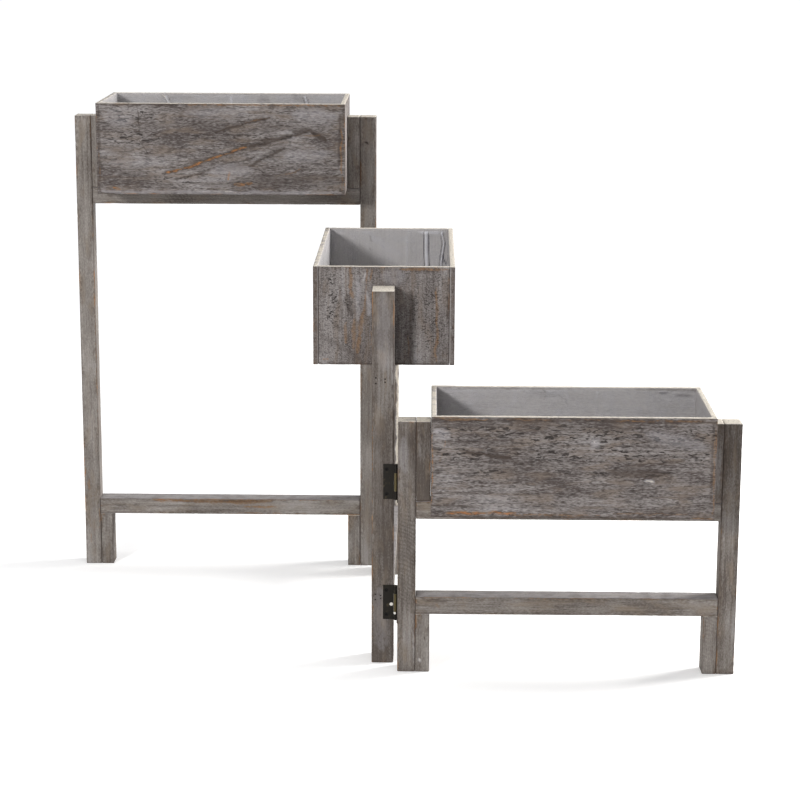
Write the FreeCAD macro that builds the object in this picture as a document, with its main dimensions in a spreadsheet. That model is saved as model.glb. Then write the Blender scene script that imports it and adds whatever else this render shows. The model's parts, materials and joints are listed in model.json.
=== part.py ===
"""Three tier folding planter stand: three leg frames in a zigzag, each carrying a planter box.

Millimetres, +Z up. The origin is on the floor under the middle frame, which runs along Y.
The tall frame runs towards -X from the back end of the middle frame, the low frame towards +X
from its front end. Every place inside a frame is given as (u, v, z): u along the frame from its
centre, v across it, z up from the floor.
"""
import FreeCAD, Part
import os
import Sketcher

Vector = FreeCAD.Vector
Rotation = FreeCAD.Rotation

doc = FreeCAD.newDocument("planter_stand")

# ---------------------------------------------------------------- driving dimensions

SIZES = {
    # leg frames
    "frame_width": 477.0,       # outside to outside of the two posts
    "frame_deep": 31.5,         # every board of a frame is this deep
    "post_wide": 25.5,          # post, seen from the front
    "strip_wide": 20.0,         # spacer strip and foot block beside each post
    "rail_tall": 26.0,
    "lower_rail_z": 85.5,       # underside of every lower rail
    "low_rail_z": 224.5,        # underside of the upper rail of each tier
    "middle_rail_z": 401.0,
    "tall_rail_z": 596.5,
    "edge_round": 0.8,          # eased edges of every board
    # planter boxes
    "box_long": 385.0,
    "box_wide": 200.0,
    "box_tall": 141.0,
    "box_wall": 7.5,
    "rim_over_post": 27.0,      # the box rim stands this much above the post tops
    # clear film liner in each box
    "film_thick": 0.4,
    "film_gap": 0.5,            # film to board, all round
    "film_drop": 6.0,           # top edge of the film below the rim
    # butt hinges
    "hinge_tall": 50.8,
    "hinge_low_z": 91.5,        # middle of the lower hinge
    "hinge_high_z": 269.0,      # middle of the upper hinge
    "leaf_thick": 1.2,
    "leaf_reach": 18.0,         # from the pin's axis to the leaf's free edge
    "knuckle_radius": 2.75,
    "mid_knuckle": 26.4,        # length of the middle knuckle
    "knuckle_gap": 0.3,
    "pin_radius": 1.25,
    "pin_clear": 0.05,          # running clearance of the pin, on the radius
    "pin_head_radius": 1.9,
    "pin_head_tall": 0.5,
    "pin_side": 2.85,           # pin axis beyond a frame's side face
    "pin_end": 3.05,            # pin axis beyond a frame's end face
    # countersunk hinge screws
    "screw_length": 13.0,
    "screw_radius": 1.3,
    "head_radius": 2.9,
    "head_tall": 1.6,
    "screw_spread": 18.0,       # up and down from the hinge's middle
    "screw_reach": 13.0,        # from the pin's axis
    # sunk brads that hold the posts to the rails
    "brad_radius": 0.8,
    "brad_length": 35.0,
    "brad_sunk": 1.5,
    "brad_outer": 10.0,         # first pair, across the post
    "brad_upper": -3.0,         # second pair at an upper rail
    "brad_lower": 2.5,          # second pair at a lower rail
    "brad_pair_wide": 4.0,      # half the height between the brads of a first pair
    "brad_pair_close": 2.2,     # the same for a second pair
    "hole_clear": 0.02,         # every fastener in its hole, on the radius
}

sheet = doc.addObject("Spreadsheet::Sheet", "Sheet")
for row, (alias, value) in enumerate(SIZES.items(), start=1):
    sheet.set(f"A{row}", alias)
    sheet.set(f"B{row}", str(value))
    sheet.setAlias(f"B{row}", alias)
doc.recompute()


def cell(alias):
    """The expression that reads one driving dimension."""
    return f"Sheet.{alias}"


WIDTH, DEEP, POST, STRIP = map(cell, ("frame_width", "frame_deep", "post_wide", "strip_wide"))
RAIL, WALL = map(cell, ("rail_tall", "box_wall"))
PIN_X = f"({DEEP} / 2 + {cell('pin_side')})"
PIN_Y = f"({WIDTH} / 2 + {cell('pin_end')})"
ARM_X = f"({PIN_X} + {cell('pin_end')} + {WIDTH} / 2)"
ARM_Y = f"({PIN_Y} + {cell('pin_side')} + {DEEP} / 2)"

# Each tier: the expressions of its frame's centre, the turn of its u axis from +X, and the
# names of its four sides. The middle frame's u axis points to +Y and its v axis to -X.
TIERS = {
    "tall": {"x": f"-{ARM_X}", "y": ARM_Y, "turn": 0.0,
             "ends": {-1: "left", 1: "right"}, "sides": {-1: "front", 1: "back"}},
    "middle": {"x": "0", "y": "0", "turn": 90.0,
               "ends": {-1: "front", 1: "back"}, "sides": {-1: "right", 1: "left"}},
    "low": {"x": ARM_X, "y": f"-{ARM_Y}", "turn": 0.0,
            "ends": {-1: "left", 1: "right"}, "sides": {-1: "front", 1: "back"}},
}

# Which ends of which frames carry hinge leaves: tier, end, and the side of the pin.
LEAVES = [
    ("middle", -1, -1),     # front end, pin on the right: turns against the low frame
    ("low", -1, 1),
    ("middle", 1, 1),       # back end, pin on the left: turns against the tall frame
    ("tall", 1, -1),
]

nodes = {}


def node(name, thing):
    """Keep an object as one sub-part: its label names its file."""
    thing.Label = name
    nodes[name] = thing
    return thing


# ---------------------------------------------------------------- placing and small solids


def rail_z(tier):
    return cell(f"{tier}_rail_z")


def box_z(tier):
    """Underside of a tier's box: it stands on the upper rail."""
    return f"({rail_z(tier)} + {RAIL})"


def post_top(tier):
    return f"({box_z(tier)} + {cell('box_tall')} - {cell('rim_over_post')})"


def place(thing, tier, u, v, z, rotation=None):
    """Put a thing at (u, v, z) of a tier's frame, turned with that frame."""
    spot = TIERS[tier]
    turn = Rotation(Vector(0, 0, 1), spot["turn"])
    if rotation is not None:
        turn = turn.multiply(rotation)
    thing.Placement = FreeCAD.Placement(Vector(0, 0, 0), turn)
    across, along = (f"-({v})", u) if spot["turn"] else (u, v)
    thing.setExpression("Placement.Base.x", f"{spot['x']} + ({across})")
    thing.setExpression("Placement.Base.y", f"{spot['y']} + ({along})")
    thing.setExpression("Placement.Base.z", z)
    return thing


def primitive(kind, name, **sizes):
    """A Part primitive whose properties are bound to expressions."""
    thing = doc.addObject(f"Part::{kind}", name)
    for prop, expression in sizes.items():
        thing.setExpression(prop, str(expression))
    return thing


def facing(end):
    """The rotation that lays a primitive's own Z axis along +u or -u."""
    return Rotation(Vector(0, 1, 0), 90.0 * end)


def joined(name, things):
    """Several solids in one object, still separate."""
    group = doc.addObject("Part::Compound", name)
    group.Links = things
    return group


def cut(name, base, tools):
    """base with every tool taken away."""
    result = doc.addObject("Part::Cut", name)
    result.Base = base
    result.Tool = joined(f"{name}_holes", tools) if len(tools) > 1 else tools[0]
    return result


# ---------------------------------------------------------------- boards


def board(name, tier, size, at, rounding="edge_round"):
    """One sawn board: a rectangle padded upwards, with its twelve edges eased.

    size is (along u, along v, height), at is (u, v, z) of the middle of its underside.
    """
    body = doc.addObject("PartDesign::Body", f"{name}_body")
    sketch = body.newObject("Sketcher::SketchObject", f"{name}_outline")
    plane = [face for face in body.Origin.OriginFeatures if face.Role == "XY_Plane"][0]
    sketch.AttachmentSupport = [(plane, "")]
    sketch.MapMode = "FlatFace"
    corners = [Vector(-9, -9, 0), Vector(9, -9, 0), Vector(9, 9, 0), Vector(-9, 9, 0)]
    for index in range(4):
        sketch.addGeometry(Part.LineSegment(corners[index], corners[(index + 1) % 4]), False)
    for index in range(4):
        sketch.addConstraint(Sketcher.Constraint("Coincident", index, 2, (index + 1) % 4, 1))
    for index, way in enumerate(("Horizontal", "Vertical", "Horizontal", "Vertical")):
        sketch.addConstraint(Sketcher.Constraint(way, index))
    sketch.addConstraint(Sketcher.Constraint("Symmetric", 0, 1, 2, 1, -1, 1))
    sketch.addConstraint(Sketcher.Constraint("DistanceX", 0, 1, 0, 2, 18.0))
    sketch.renameConstraint(sketch.ConstraintCount - 1, "along")
    sketch.addConstraint(Sketcher.Constraint("DistanceY", 1, 1, 1, 2, 18.0))
    sketch.renameConstraint(sketch.ConstraintCount - 1, "across")
    sketch.setExpression("Constraints.along", size[0])
    sketch.setExpression("Constraints.across", size[1])
    pad = body.newObject("PartDesign::Pad", f"{name}_pad")
    pad.Profile = sketch
    pad.setExpression("Length", size[2])
    doc.recompute()
    ease = body.newObject("PartDesign::Fillet", f"{name}_ease")
    ease.Base = (pad, [f"Edge{number}" for number in range(1, 13)])
    ease.setExpression("Radius", cell(rounding))
    body.Tip = ease
    return place(body, tier, *at)


def at_post(end):
    """Expression of the middle of the post at one end of a frame."""
    return f"{end} * ({WIDTH} / 2 - {POST} / 2)"


def at_strip(end):
    return f"{end} * ({WIDTH} / 2 - {POST} - {STRIP} / 2)"


# ---------------------------------------------------------------- fasteners


def screw_solid(name, tier, end, reach, z, clear="0"):
    """A countersunk screw driven along u into the end face of a frame.

    reach is its place across the frame, clear is added to its radii to make its hole.
    """
    cone = primitive("Cone", f"{name}_head", Radius1=f"{cell('head_radius')} + {clear}",
                     Radius2=f"{cell('screw_radius')} + {clear}", Height=cell("head_tall"))
    shank = primitive("Cylinder", f"{name}_shank", Radius=f"{cell('screw_radius')} + {clear}",
                      Height=f"{cell('screw_length')} + {clear}")
    screw = doc.addObject("Part::Fuse", name)
    screw.Base = cone
    screw.Tool = shank
    outside = f"{end} * ({WIDTH} / 2 + {cell('leaf_thick')})"
    return place(screw, tier, outside, reach, z, facing(-end))


def hinge_heights():
    return {"lower": cell("hinge_low_z"), "upper": cell("hinge_high_z")}


def screws(tier, end, side, height, prefix, clear="0"):
    """The two screws of one leaf."""
    reach = f"{side} * ({DEEP} / 2 + {cell('pin_side')} - {cell('screw_reach')})"
    return [screw_solid(f"{prefix}_{index}", tier, end, reach,
                        f"{height} + {way} * {cell('screw_spread')}", clear)
            for index, way in enumerate((-1, 1))]


def brads(tier, end, rail, prefix, clear="0", sunk=cell("brad_sunk")):
    """The four brads through a post into the end of one rail."""
    base = rail_z(tier) if rail == "upper" else cell("lower_rail_z")
    made = []
    rows = (("brad_outer", "brad_pair_wide"), (f"brad_{rail}", "brad_pair_close"))
    for column, (across, half) in enumerate(rows):
        for row, way in enumerate((-1, 1)):
            brad = primitive("Cylinder", f"{prefix}_{column}{row}",
                             Radius=f"{cell('brad_radius')} + {clear}",
                             Height=f"{cell('brad_length')} + {cell('brad_sunk')} - {sunk} + {clear}")
            outside = f"{end} * ({WIDTH} / 2 - {sunk})"
            height = f"{base} + {RAIL} / 2 + {way} * {cell(half)}"
            made.append(place(brad, tier, outside, cell(across), height, facing(-end)))
    return made


CLEAR = cell("hole_clear")


def leaves_of(tier, end):
    """The sides on which the pin stands at one end of a frame, if that end is hinged."""
    return [side for where, which, side in LEAVES if where == tier and which == end]


# ---------------------------------------------------------------- leg frame


def post(tier, end):
    """A full height post, drilled for the brads of both rails and for any hinge screws."""
    name = f"{tier}_post_{TIERS[tier]['ends'][end]}"
    blank = board(name, tier, (POST, DEEP, post_top(tier)), (at_post(end), "0", "0"))
    holes = []
    for rail in ("lower", "upper"):
        holes += brads(tier, end, rail, f"{name}_{rail}_bore", CLEAR, "0")
    for side in leaves_of(tier, end):
        for level, height in hinge_heights().items():
            holes += screws(tier, end, side, height, f"{name}_{level}_pilot", CLEAR)
    node(name, cut(name, blank, holes))


def rail(tier, which):
    """A rail butted between the posts, drilled in both ends for the brads."""
    name = f"{tier}_{which}_rail"
    base = rail_z(tier) if which == "upper" else cell("lower_rail_z")
    blank = board(name, tier, (f"{WIDTH} - 2 * {POST}", DEEP, RAIL), ("0", "0", base))
    holes = []
    for end, word in TIERS[tier]["ends"].items():
        holes += brads(tier, end, which, f"{name}_{word}_bore", CLEAR, "0")
    node(name, cut(name, blank, holes))


def strips(tier, end):
    """The foot block under the lower rail and the spacer strip beside the box."""
    word = TIERS[tier]["ends"][end]
    node(f"{tier}_foot_block_{word}",
         board(f"{tier}_foot_block_{word}", tier, (STRIP, DEEP, cell("lower_rail_z")),
               (at_strip(end), "0", "0")))
    node(f"{tier}_spacer_{word}",
         board(f"{tier}_spacer_{word}", tier,
               (STRIP, DEEP, f"{post_top(tier)} - {box_z(tier)}"),
               (at_strip(end), "0", box_z(tier))))


# ---------------------------------------------------------------- planter box


def planter_box(tier):
    """Two long boards over the ends of two short ones, round a bottom board."""
    long_way, wide_way, tall_way = cell("box_long"), cell("box_wide"), cell("box_tall")
    inner_long, inner_wide = f"{long_way} - 2 * {WALL}", f"{wide_way} - 2 * {WALL}"
    base = box_z(tier)
    for side, word in TIERS[tier]["sides"].items():
        name = f"{tier}_box_side_{word}"
        at = ("0", f"{side} * ({wide_way} - {WALL}) / 2", base)
        node(name, board(name, tier, (long_way, WALL, tall_way), at))
    for end, word in TIERS[tier]["ends"].items():
        name = f"{tier}_box_end_{word}"
        at = (f"{end} * ({long_way} - {WALL}) / 2", "0", base)
        node(name, board(name, tier, (WALL, inner_wide, tall_way), at))
    name = f"{tier}_box_bottom"
    node(name, board(name, tier, (inner_long, inner_wide, WALL), ("0", "0", base)))


def liner(tier):
    """An open tray of clear film that hangs just inside the box."""
    name = f"{tier}_liner"
    gap, film = cell("film_gap"), cell("film_thick")
    length = f"{cell('box_long')} - 2 * {WALL} - 2 * {gap}"
    width = f"{cell('box_wide')} - 2 * {WALL} - 2 * {gap}"
    height = f"{cell('box_tall')} - {WALL} - {cell('film_drop')}"
    outer = primitive("Box", f"{name}_outer", Length=length, Width=width, Height=height)
    inner = primitive("Box", f"{name}_inner", Length=f"{length} - 2 * {film}",
                      Width=f"{width} - 2 * {film}", Height=height)
    floor = f"{box_z(tier)} + {WALL}"
    place(outer, tier, f"-({length}) / 2", f"-({width}) / 2", floor)
    place(inner, tier, f"-({length}) / 2 + {film}", f"-({width}) / 2 + {film}",
          f"{floor} + {film}")
    node(name, cut(name, outer, [inner]))


# ---------------------------------------------------------------- hinges


def hinge_leaf(name, tier, end, side, height, middle):
    """One leaf: a plate on the frame's end face, bent into one knuckle or two.

    middle says whether it has the long middle knuckle or the two outer ones.
    """
    half, gap = f"{cell('hinge_tall')} / 2", cell("knuckle_gap")
    half_mid = f"{cell('mid_knuckle')} / 2"
    thick, reach, radius = cell("leaf_thick"), cell("leaf_reach"), cell("knuckle_radius")
    face = f"{end} * {WIDTH} / 2" if end > 0 else f"-{WIDTH} / 2 - {thick}"
    pin_u, pin_v = f"{end} * {PIN_Y}", f"{side} * {PIN_X}"
    inset = f"({radius} + {gap})"
    spans = [(f"-{half_mid}", cell("mid_knuckle"))] if middle else [
        (f"-{half}", f"{half} - {half_mid} - {gap}"),
        (f"{half_mid} + {gap}", f"{half} - {half_mid} - {gap}")]

    def slab(part, from_pin, long_way, low, tall):
        """A piece of the plate, from_pin to from_pin + long_way away from the pin's axis."""
        thing = primitive("Box", f"{name}_{part}", Length=thick, Width=long_way, Height=tall)
        start = f"{pin_v} - ({from_pin}) - ({long_way})" if side > 0 else f"{pin_v} + {from_pin}"
        return place(thing, tier, face, start, f"{height} + {low}")

    pieces = [slab("plate", inset, f"{reach} - {inset}", f"-{half}", cell("hinge_tall"))]
    for index, (low, tall) in enumerate(spans):
        pieces.append(slab(f"tab{index}", "0", inset, low, tall))
        knuckle = primitive("Cylinder", f"{name}_knuckle{index}", Radius=radius, Height=tall)
        pieces.append(place(knuckle, tier, pin_u, pin_v, f"{height} + {low}"))
    blank = doc.addObject("Part::MultiFuse", f"{name}_blank")
    blank.Shapes = pieces
    bore = primitive("Cylinder", f"{name}_bore", Height=f"{cell('hinge_tall')} + 2",
                     Radius=f"{cell('pin_radius')} + {cell('pin_clear')}")
    place(bore, tier, pin_u, pin_v, f"{height} - {half} - 1")
    tools = [bore] + screws(tier, end, side, height, f"{name}_sink", CLEAR)
    node(name, cut(name, blank, tools))


def hinge_pin(name, tier, end, side, height):
    """The pin, with a flattened head at each end."""
    pin_u, pin_v = f"{end} * {PIN_Y}", f"{side} * {PIN_X}"
    half, head = f"{cell('hinge_tall')} / 2", cell("pin_head_tall")
    shaft = primitive("Cylinder", f"{name}_shaft", Radius=cell("pin_radius"),
                      Height=cell("hinge_tall"))
    place(shaft, tier, pin_u, pin_v, f"{height} - {half}")
    caps = []
    for word, low in (("foot", f"-{half} - {head}"), ("top", half)):
        cap = primitive("Cylinder", f"{name}_{word}", Radius=cell("pin_head_radius"), Height=head)
        caps.append(place(cap, tier, pin_u, pin_v, f"{height} + {low}"))
    pin = doc.addObject("Part::MultiFuse", name)
    pin.Shapes = [shaft] + caps
    node(name, pin)


def hinges(arm, end, side):
    """The two hinges between the middle frame and one arm, the tall or the low frame."""
    for level, height in hinge_heights().items():
        stem = f"{arm}_{level}_hinge"
        hinge_leaf(f"{stem}_fixed_leaf", "middle", end, side, height, middle=False)
        arm_end = {"tall": 1, "low": -1}[arm]
        hinge_leaf(f"{stem}_moving_leaf", arm, arm_end, -side, height, middle=True)
        hinge_pin(f"{stem}_pin", "middle", end, side, height)


def fastener_groups(tier):
    """All hinge screws and all brads of one frame, as two groups of separate solids."""
    driven = []
    for where, end, side in LEAVES:
        if where == tier:
            for level, height in hinge_heights().items():
                driven += screws(tier, end, side, height, f"{tier}_screw_{end + 1}_{level}")
    node(f"{tier}_hinge_screws", joined(f"{tier}_hinge_screws", driven))
    nailed = []
    for end in TIERS[tier]["ends"]:
        for which in ("lower", "upper"):
            nailed += brads(tier, end, which, f"{tier}_brad_{end + 1}_{which}")
    node(f"{tier}_brads", joined(f"{tier}_brads", nailed))


# ---------------------------------------------------------------- build, check and write

for tier in TIERS:
    for end in (-1, 1):
        post(tier, end)
        strips(tier, end)
    for which in ("lower", "upper"):
        rail(tier, which)
    planter_box(tier)
    liner(tier)
    fastener_groups(tier)
hinges("low", -1, -1)
hinges("tall", 1, 1)
doc.recompute()

broken = [thing.Name for thing in doc.Objects
          if "Invalid" in thing.State or "Error" in thing.State]
broken += [name for name, thing in nodes.items()
           if thing.Shape.isNull() or not thing.Shape.isValid()]
if broken:
    raise RuntimeError(f"not built: {broken}")

os.makedirs("parts", exist_ok=True)
for name, thing in nodes.items():
    thing.Shape.exportStep(f"parts/{name}.step")
print(f"{len(nodes)} sub-parts written")
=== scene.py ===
# %% [markdown]
# A three tier planter stand: three wooden frames hinged in a zigzag, each carrying a long box
# with a clear film liner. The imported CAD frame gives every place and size; this file makes what
# the eye sees. It is read from top to bottom, one cell at a time.

# %% Load the frame
import functools
import json
import math
import random

import bmesh
import bpy
import numpy as np
from mathutils import Matrix, Vector, noise


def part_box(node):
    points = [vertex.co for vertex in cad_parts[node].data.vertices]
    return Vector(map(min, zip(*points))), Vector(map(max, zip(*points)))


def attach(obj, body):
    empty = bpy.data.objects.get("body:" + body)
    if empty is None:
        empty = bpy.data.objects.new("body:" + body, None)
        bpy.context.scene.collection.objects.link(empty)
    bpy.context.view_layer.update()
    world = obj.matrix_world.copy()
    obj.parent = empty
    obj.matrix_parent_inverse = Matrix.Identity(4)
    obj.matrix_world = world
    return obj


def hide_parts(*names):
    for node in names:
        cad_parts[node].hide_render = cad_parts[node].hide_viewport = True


noise.seed_set(7)  # without a seed, noise vectors would differ from run to run
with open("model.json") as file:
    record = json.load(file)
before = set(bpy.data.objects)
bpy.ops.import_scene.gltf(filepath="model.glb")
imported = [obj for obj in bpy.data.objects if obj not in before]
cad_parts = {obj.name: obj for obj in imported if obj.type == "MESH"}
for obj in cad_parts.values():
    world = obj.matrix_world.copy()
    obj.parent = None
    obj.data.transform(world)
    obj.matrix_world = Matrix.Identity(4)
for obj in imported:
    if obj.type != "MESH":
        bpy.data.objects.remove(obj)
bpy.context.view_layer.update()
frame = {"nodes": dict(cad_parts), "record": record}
RECORD = frame["record"]
BODY_OF = {node: body for body, nodes in RECORD["behaviour"]["bodies"].items() for node in nodes}
MM = 0.001
TIERS = ("tall", "middle", "low")
scene = bpy.context.scene

# %% [markdown]
# The camera stands a little above the tallest box, far away on a long lens, so that upright
# boards stay upright. Its place is in metres, and its turn is a yaw, a pitch and a roll.

# %% Camera
CAMERA_AT = Vector((0.0640, -3.2846, 1.0629))
CAMERA_YAW, CAMERA_PITCH, CAMERA_ROLL = map(math.radians, (-0.756, 12.515, 0.237))


def camera_axes(yaw, pitch, roll):
    """The camera's right, up and back directions."""
    ahead = Vector((math.sin(yaw) * math.cos(pitch), math.cos(yaw) * math.cos(pitch),
                    -math.sin(pitch)))
    level = Vector((math.cos(yaw), -math.sin(yaw), 0.0))
    above = level.cross(ahead)
    right = math.cos(roll) * level + math.sin(roll) * above
    return right, math.cos(roll) * above - math.sin(roll) * level, -ahead


lens = bpy.data.cameras.new("camera")
lens.lens = 100.4
lens.sensor_width = 36.0
lens.clip_end = 60.0
camera = bpy.data.objects.new("camera", lens)
scene.collection.objects.link(camera)
turn = Matrix(camera_axes(CAMERA_YAW, CAMERA_PITCH, CAMERA_ROLL)).transposed()
camera.matrix_world = Matrix.Translation(CAMERA_AT) @ turn.to_4x4()
scene.camera = camera
print("camera stands", round(CAMERA_AT.length, 2), "m away")

# %% [markdown]
# Two helpers serve every finish. One turns an sRGB hex colour to the linear values a shader
# works in. The other adds one shader node: its inputs are set or linked in order, or by name,
# its settings are keywords, and it hands back the output to use.

# %% Shader helpers
SMOOTH = {"interpolation_type": "SMOOTHSTEP"}
TIMES, TIMES_PLUS = {"operation": "MULTIPLY"}, {"operation": "MULTIPLY_ADD"}
LARGER = {"operation": "MAXIMUM"}
LAYER = {"data_type": "RGBA", "out": 2}  # one colour laid over another


def linear(hex_colour):
    """An sRGB hex colour as linear red, green, blue and alpha."""
    parts = [int(hex_colour[i:i + 2], 16) / 255 for i in (1, 3, 5)]
    return [c / 12.92 if c <= 0.04045 else ((c + 0.055) / 1.055) ** 2.4 for c in parts] + [1.0]


def add_node(tree, kind, *inputs, out=0, named=None, **settings):
    """A new shader node; out picks the output handed back, and None gives them all."""
    made = tree.nodes.new("ShaderNode" + kind)
    for setting, value in settings.items():
        setattr(made, setting, value)
    for place, value in [*enumerate(inputs), *(named or {}).items()]:
        if isinstance(value, bpy.types.NodeSocket):
            tree.links.new(value, made.inputs[place])
        elif value is not None:
            made.inputs[place].default_value = value
    return made.outputs if out is None else made.outputs[out]


def new_material(name):
    """An empty material, and the node helper tied to it."""
    material = bpy.data.materials.new(name)
    material.use_nodes = True
    material.node_tree.nodes.clear()
    return material, functools.partial(add_node, material.node_tree)


print("a mid grey in linear light:", round(linear("#808080")[0], 3))

# %% [markdown]
# The wood is pale softwood that was stained brown, brushed with a milky grey wash, and rubbed
# back. Each board carries attributes, so that one finish suits every board: where it is along
# its own grain ("grain", in millimetres) and in its crazing cells ("craze"), how far it is from
# an arris ("edge"), what marks it has, with painted shade and painted highlights among them
# ("stain": dark, bare and pale), and how far it is inside a box, crazed, or end grain ("zone").
# Five sizes of noise, all stretched along the grain, join them, and every layer of the finish
# reads from the same set.

# %% What a wood finish reads
GRAIN_NOISE = {  # length along the grain and width across it in mm, detail, distortion
    "cloud": (95.0, 45.0, 2.0, 0.0),     # where the brush left more or less wash
    "patch": (46.0, 13.0, 3.0, 0.3),     # where it was rubbed
    "streak": (150.0, 4.5, 3.0, 0.4),    # growth rings
    "fibre": (22.0, 0.9, 2.0, 0.0),      # wood fibres
    "fleck": (6.0, 2.6, 3.0, 0.0),       # chips in the wash
}
SPECKS_PER_CELL = 2.2  # pores, drawn about twice their real size to show


def read_board(put):
    """The sockets that the layers of a wood finish share."""
    read = {title: put("Attribute", attribute_name=title, out="Vector")
            for title in ("grain", "craze", "stain_and_painted_light", "zone")}
    read["edge"] = put("Attribute", attribute_name="edge", out="Fac")
    read["lift"] = put("Attribute", attribute_name="tone", out="Fac")
    read["dark"], read["bare"], read["pale"] = put("SeparateXYZ", read["stain_and_painted_light"], out=None)
    read["inside"], read["crazed"], read["end"] = put("SeparateXYZ", read["zone"], out=None)
    read["outside"] = put("MapRange", read["inside"], 0.15, 0.7, 1.0, 0.12, **SMOOTH)
    for index, (title, (along, across, detail, bend)) in enumerate(GRAIN_NOISE.items()):
        place = put("VectorMath", read["grain"], (1 / along, 1 / across, 1 / across),
                    (3.7 * index,) * 3, operation="MULTIPLY_ADD")
        read[title] = put("TexNoise", named={"Vector": place, "Scale": 1.0,
                                             "Detail": detail, "Distortion": bend})
    read["speck"] = put("TexNoise", named={"Vector": read["craze"], "Scale": SPECKS_PER_CELL,
                                           "Detail": 3.0})
    return read


print("wood noises:", ", ".join(GRAIN_NOISE))

# %% [markdown]
# The wash comes first: dark to light grey, warmer where it is thin and cooler where it is thick.
# Inside the boxes it is lighter, partly the paler look of the inner faces and partly painted fill light.

# %% Wash


def wash_layer(put, read, dark, light, warm, weights):
    """The wash's tone and colour; weights say how strongly each noise shows."""
    tone = put("Math", read["lift"], 0.5 - sum(weights.values()) / 2, operation="ADD")
    for title, weight in weights.items():
        tone = put("Math", read[title], weight, tone, **TIMES_PLUS)
    # Inner faces are lightened: partly their paler look, partly painted fill light in the box's shaded
    # inside.
    tone = put("Math", read["inside"], 0.25, tone, use_clamp=True, **TIMES_PLUS)
    colour = put("Mix", named={0: tone, 6: linear(dark), 7: linear(light)}, **LAYER)
    thin = put("MapRange", read["patch"], 0.45, 0.72, 0.0, 0.6, **SMOOTH)
    thin = put("Math", thin, put("MapRange", read["inside"], 0.0, 1.0, 1.0, 0.35), **TIMES)
    colour = put("Mix", named={0: thin, 6: colour, 7: linear(warm)}, **LAYER)
    thick = put("MapRange", read["cloud"], 0.55, 0.75, 0.0, 0.35, **SMOOTH)
    thick = put("Math", thick, put("MapRange", read["streak"], 0.45, 0.6, **SMOOTH), **TIMES)
    colour = put("Mix", named={0: thick, 6: colour, 7: linear("#9b999c")}, **LAYER)
    # Light grey laid over the inner faces: partly their paler look, partly painted fill light.
    inner_pale_and_painted_fill = put("Math", read["inside"], 0.46, **TIMES)
    colour = put("Mix", named={0: inner_pale_and_painted_fill, 6: colour, 7: linear("#c6c3c2")}, **LAYER)
    return tone, colour


print("the wash lies on the inside of the boxes too")

# %% [markdown]
# Dark marks gather in fibres and pores, and the strongest are solid. Rubbed wood is brown and
# ochre, with an orange core where it is rubbed deepest. Dirt lies broadly near the arrises, with
# thin worn lines on them.

# %% Marks and rubbed wood


def held_by(put, read, amount, least, *noises):
    """An amount that is whole where each noise is high, and cut to a least share elsewhere."""
    for title, low, high in noises:
        share = put("MapRange", read[title], low, high, least, 1.0, **SMOOTH)
        amount = put("Math", amount, share, **TIMES)
    return amount


def dark_marks(put, read, colour):
    """Smears of the colour the wood was stained with, and painted shade in brad pits and deep chips, over
    the wash.
    """
    marked = held_by(put, read, read["dark"], 0.62, ("fleck", 0.32, 0.58), ("speck", 0.34, 0.58))
    solid = put("MapRange", read["dark"], 0.55, 0.95, 0.0, 0.88, **SMOOTH)
    marked = put("Math", marked, solid, **LARGER)
    return put("Mix", named={0: marked, 6: colour, 7: linear("#3d332d")}, **LAYER)


def rubbed_wood(put, read, colour):
    """Brown stained wood, dirty arrises, then bare wood; also how bare it is."""
    ring = put("MapRange", read["streak"], 0.38, 0.62, **SMOOTH)
    bare_wood = put("Mix", named={0: ring, 6: linear("#66492f"), 7: linear("#a0744a")}, **LAYER)
    pores = put("MapRange", read["speck"], 0.52, 0.70, **SMOOTH)
    bare_wood = put("Mix", named={0: pores, 6: bare_wood, 7: linear("#553f2d")}, **LAYER)
    core = put("MapRange", read["bare"], 0.66, 1.0, **SMOOTH)
    core = held_by(put, read, core, 0.25, ("fleck", 0.32, 0.56), ("speck", 0.38, 0.58))
    bare_wood = put("Mix", named={0: core, 6: bare_wood, 7: linear("#a5673c")}, **LAYER)
    stained = put("MapRange", read["bare"], 0.05, 0.80, 0.0, 0.80, **SMOOTH)
    stained = put("Math", stained, read["outside"], **TIMES)
    stained = held_by(put, read, stained, 0.50, ("fleck", 0.30, 0.58), ("speck", 0.36, 0.60))
    colour = put("Mix", named={0: stained, 6: colour, 7: linear("#80603f")}, **LAYER)
    dirt = put("MapRange", read["edge"], 11.0, 0.5, 0.0, 0.62, **SMOOTH)
    dirt = held_by(put, read, dirt, 0.0, ("fleck", 0.40, 0.62), ("patch", 0.36, 0.56))
    line = put("MapRange", read["edge"], 1.7, 0.3, **SMOOTH)
    gaps = put("MapRange", read["cloud"], 0.34, 0.56, 0.2, 0.85, **SMOOTH)
    dirt = put("Math", dirt, put("Math", line, gaps, **TIMES), **LARGER)
    dirt = put("Math", dirt, read["outside"], **TIMES)
    colour = put("Mix", named={0: dirt, 6: colour, 7: linear("#453a33")}, **LAYER)
    worn = put("MapRange", read["edge"], 2.4, 0.4, **SMOOTH)
    worn = held_by(put, read, worn, 0.0, ("patch", 0.56, 0.68))
    rubbed = put("Math", put("Math", worn, core, **LARGER), read["outside"], **TIMES)
    shown = put("Math", rubbed, 0.82, **TIMES)
    colour = put("Mix", named={0: shown, 6: colour, 7: bare_wood}, **LAYER)
    return colour, rubbed


print("marks come from three attributes: dark, bare and pale")

# %% [markdown]
# On the box boards the wash has crazed into short wavy dashes. They are the peaks of a noise
# stretched sideways. Wash left thick is lilac grey where there is a little of it, and cream on
# rims and post tops, where the cream is partly a painted highlight of the light from above.

# %% Crazing and cream


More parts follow.
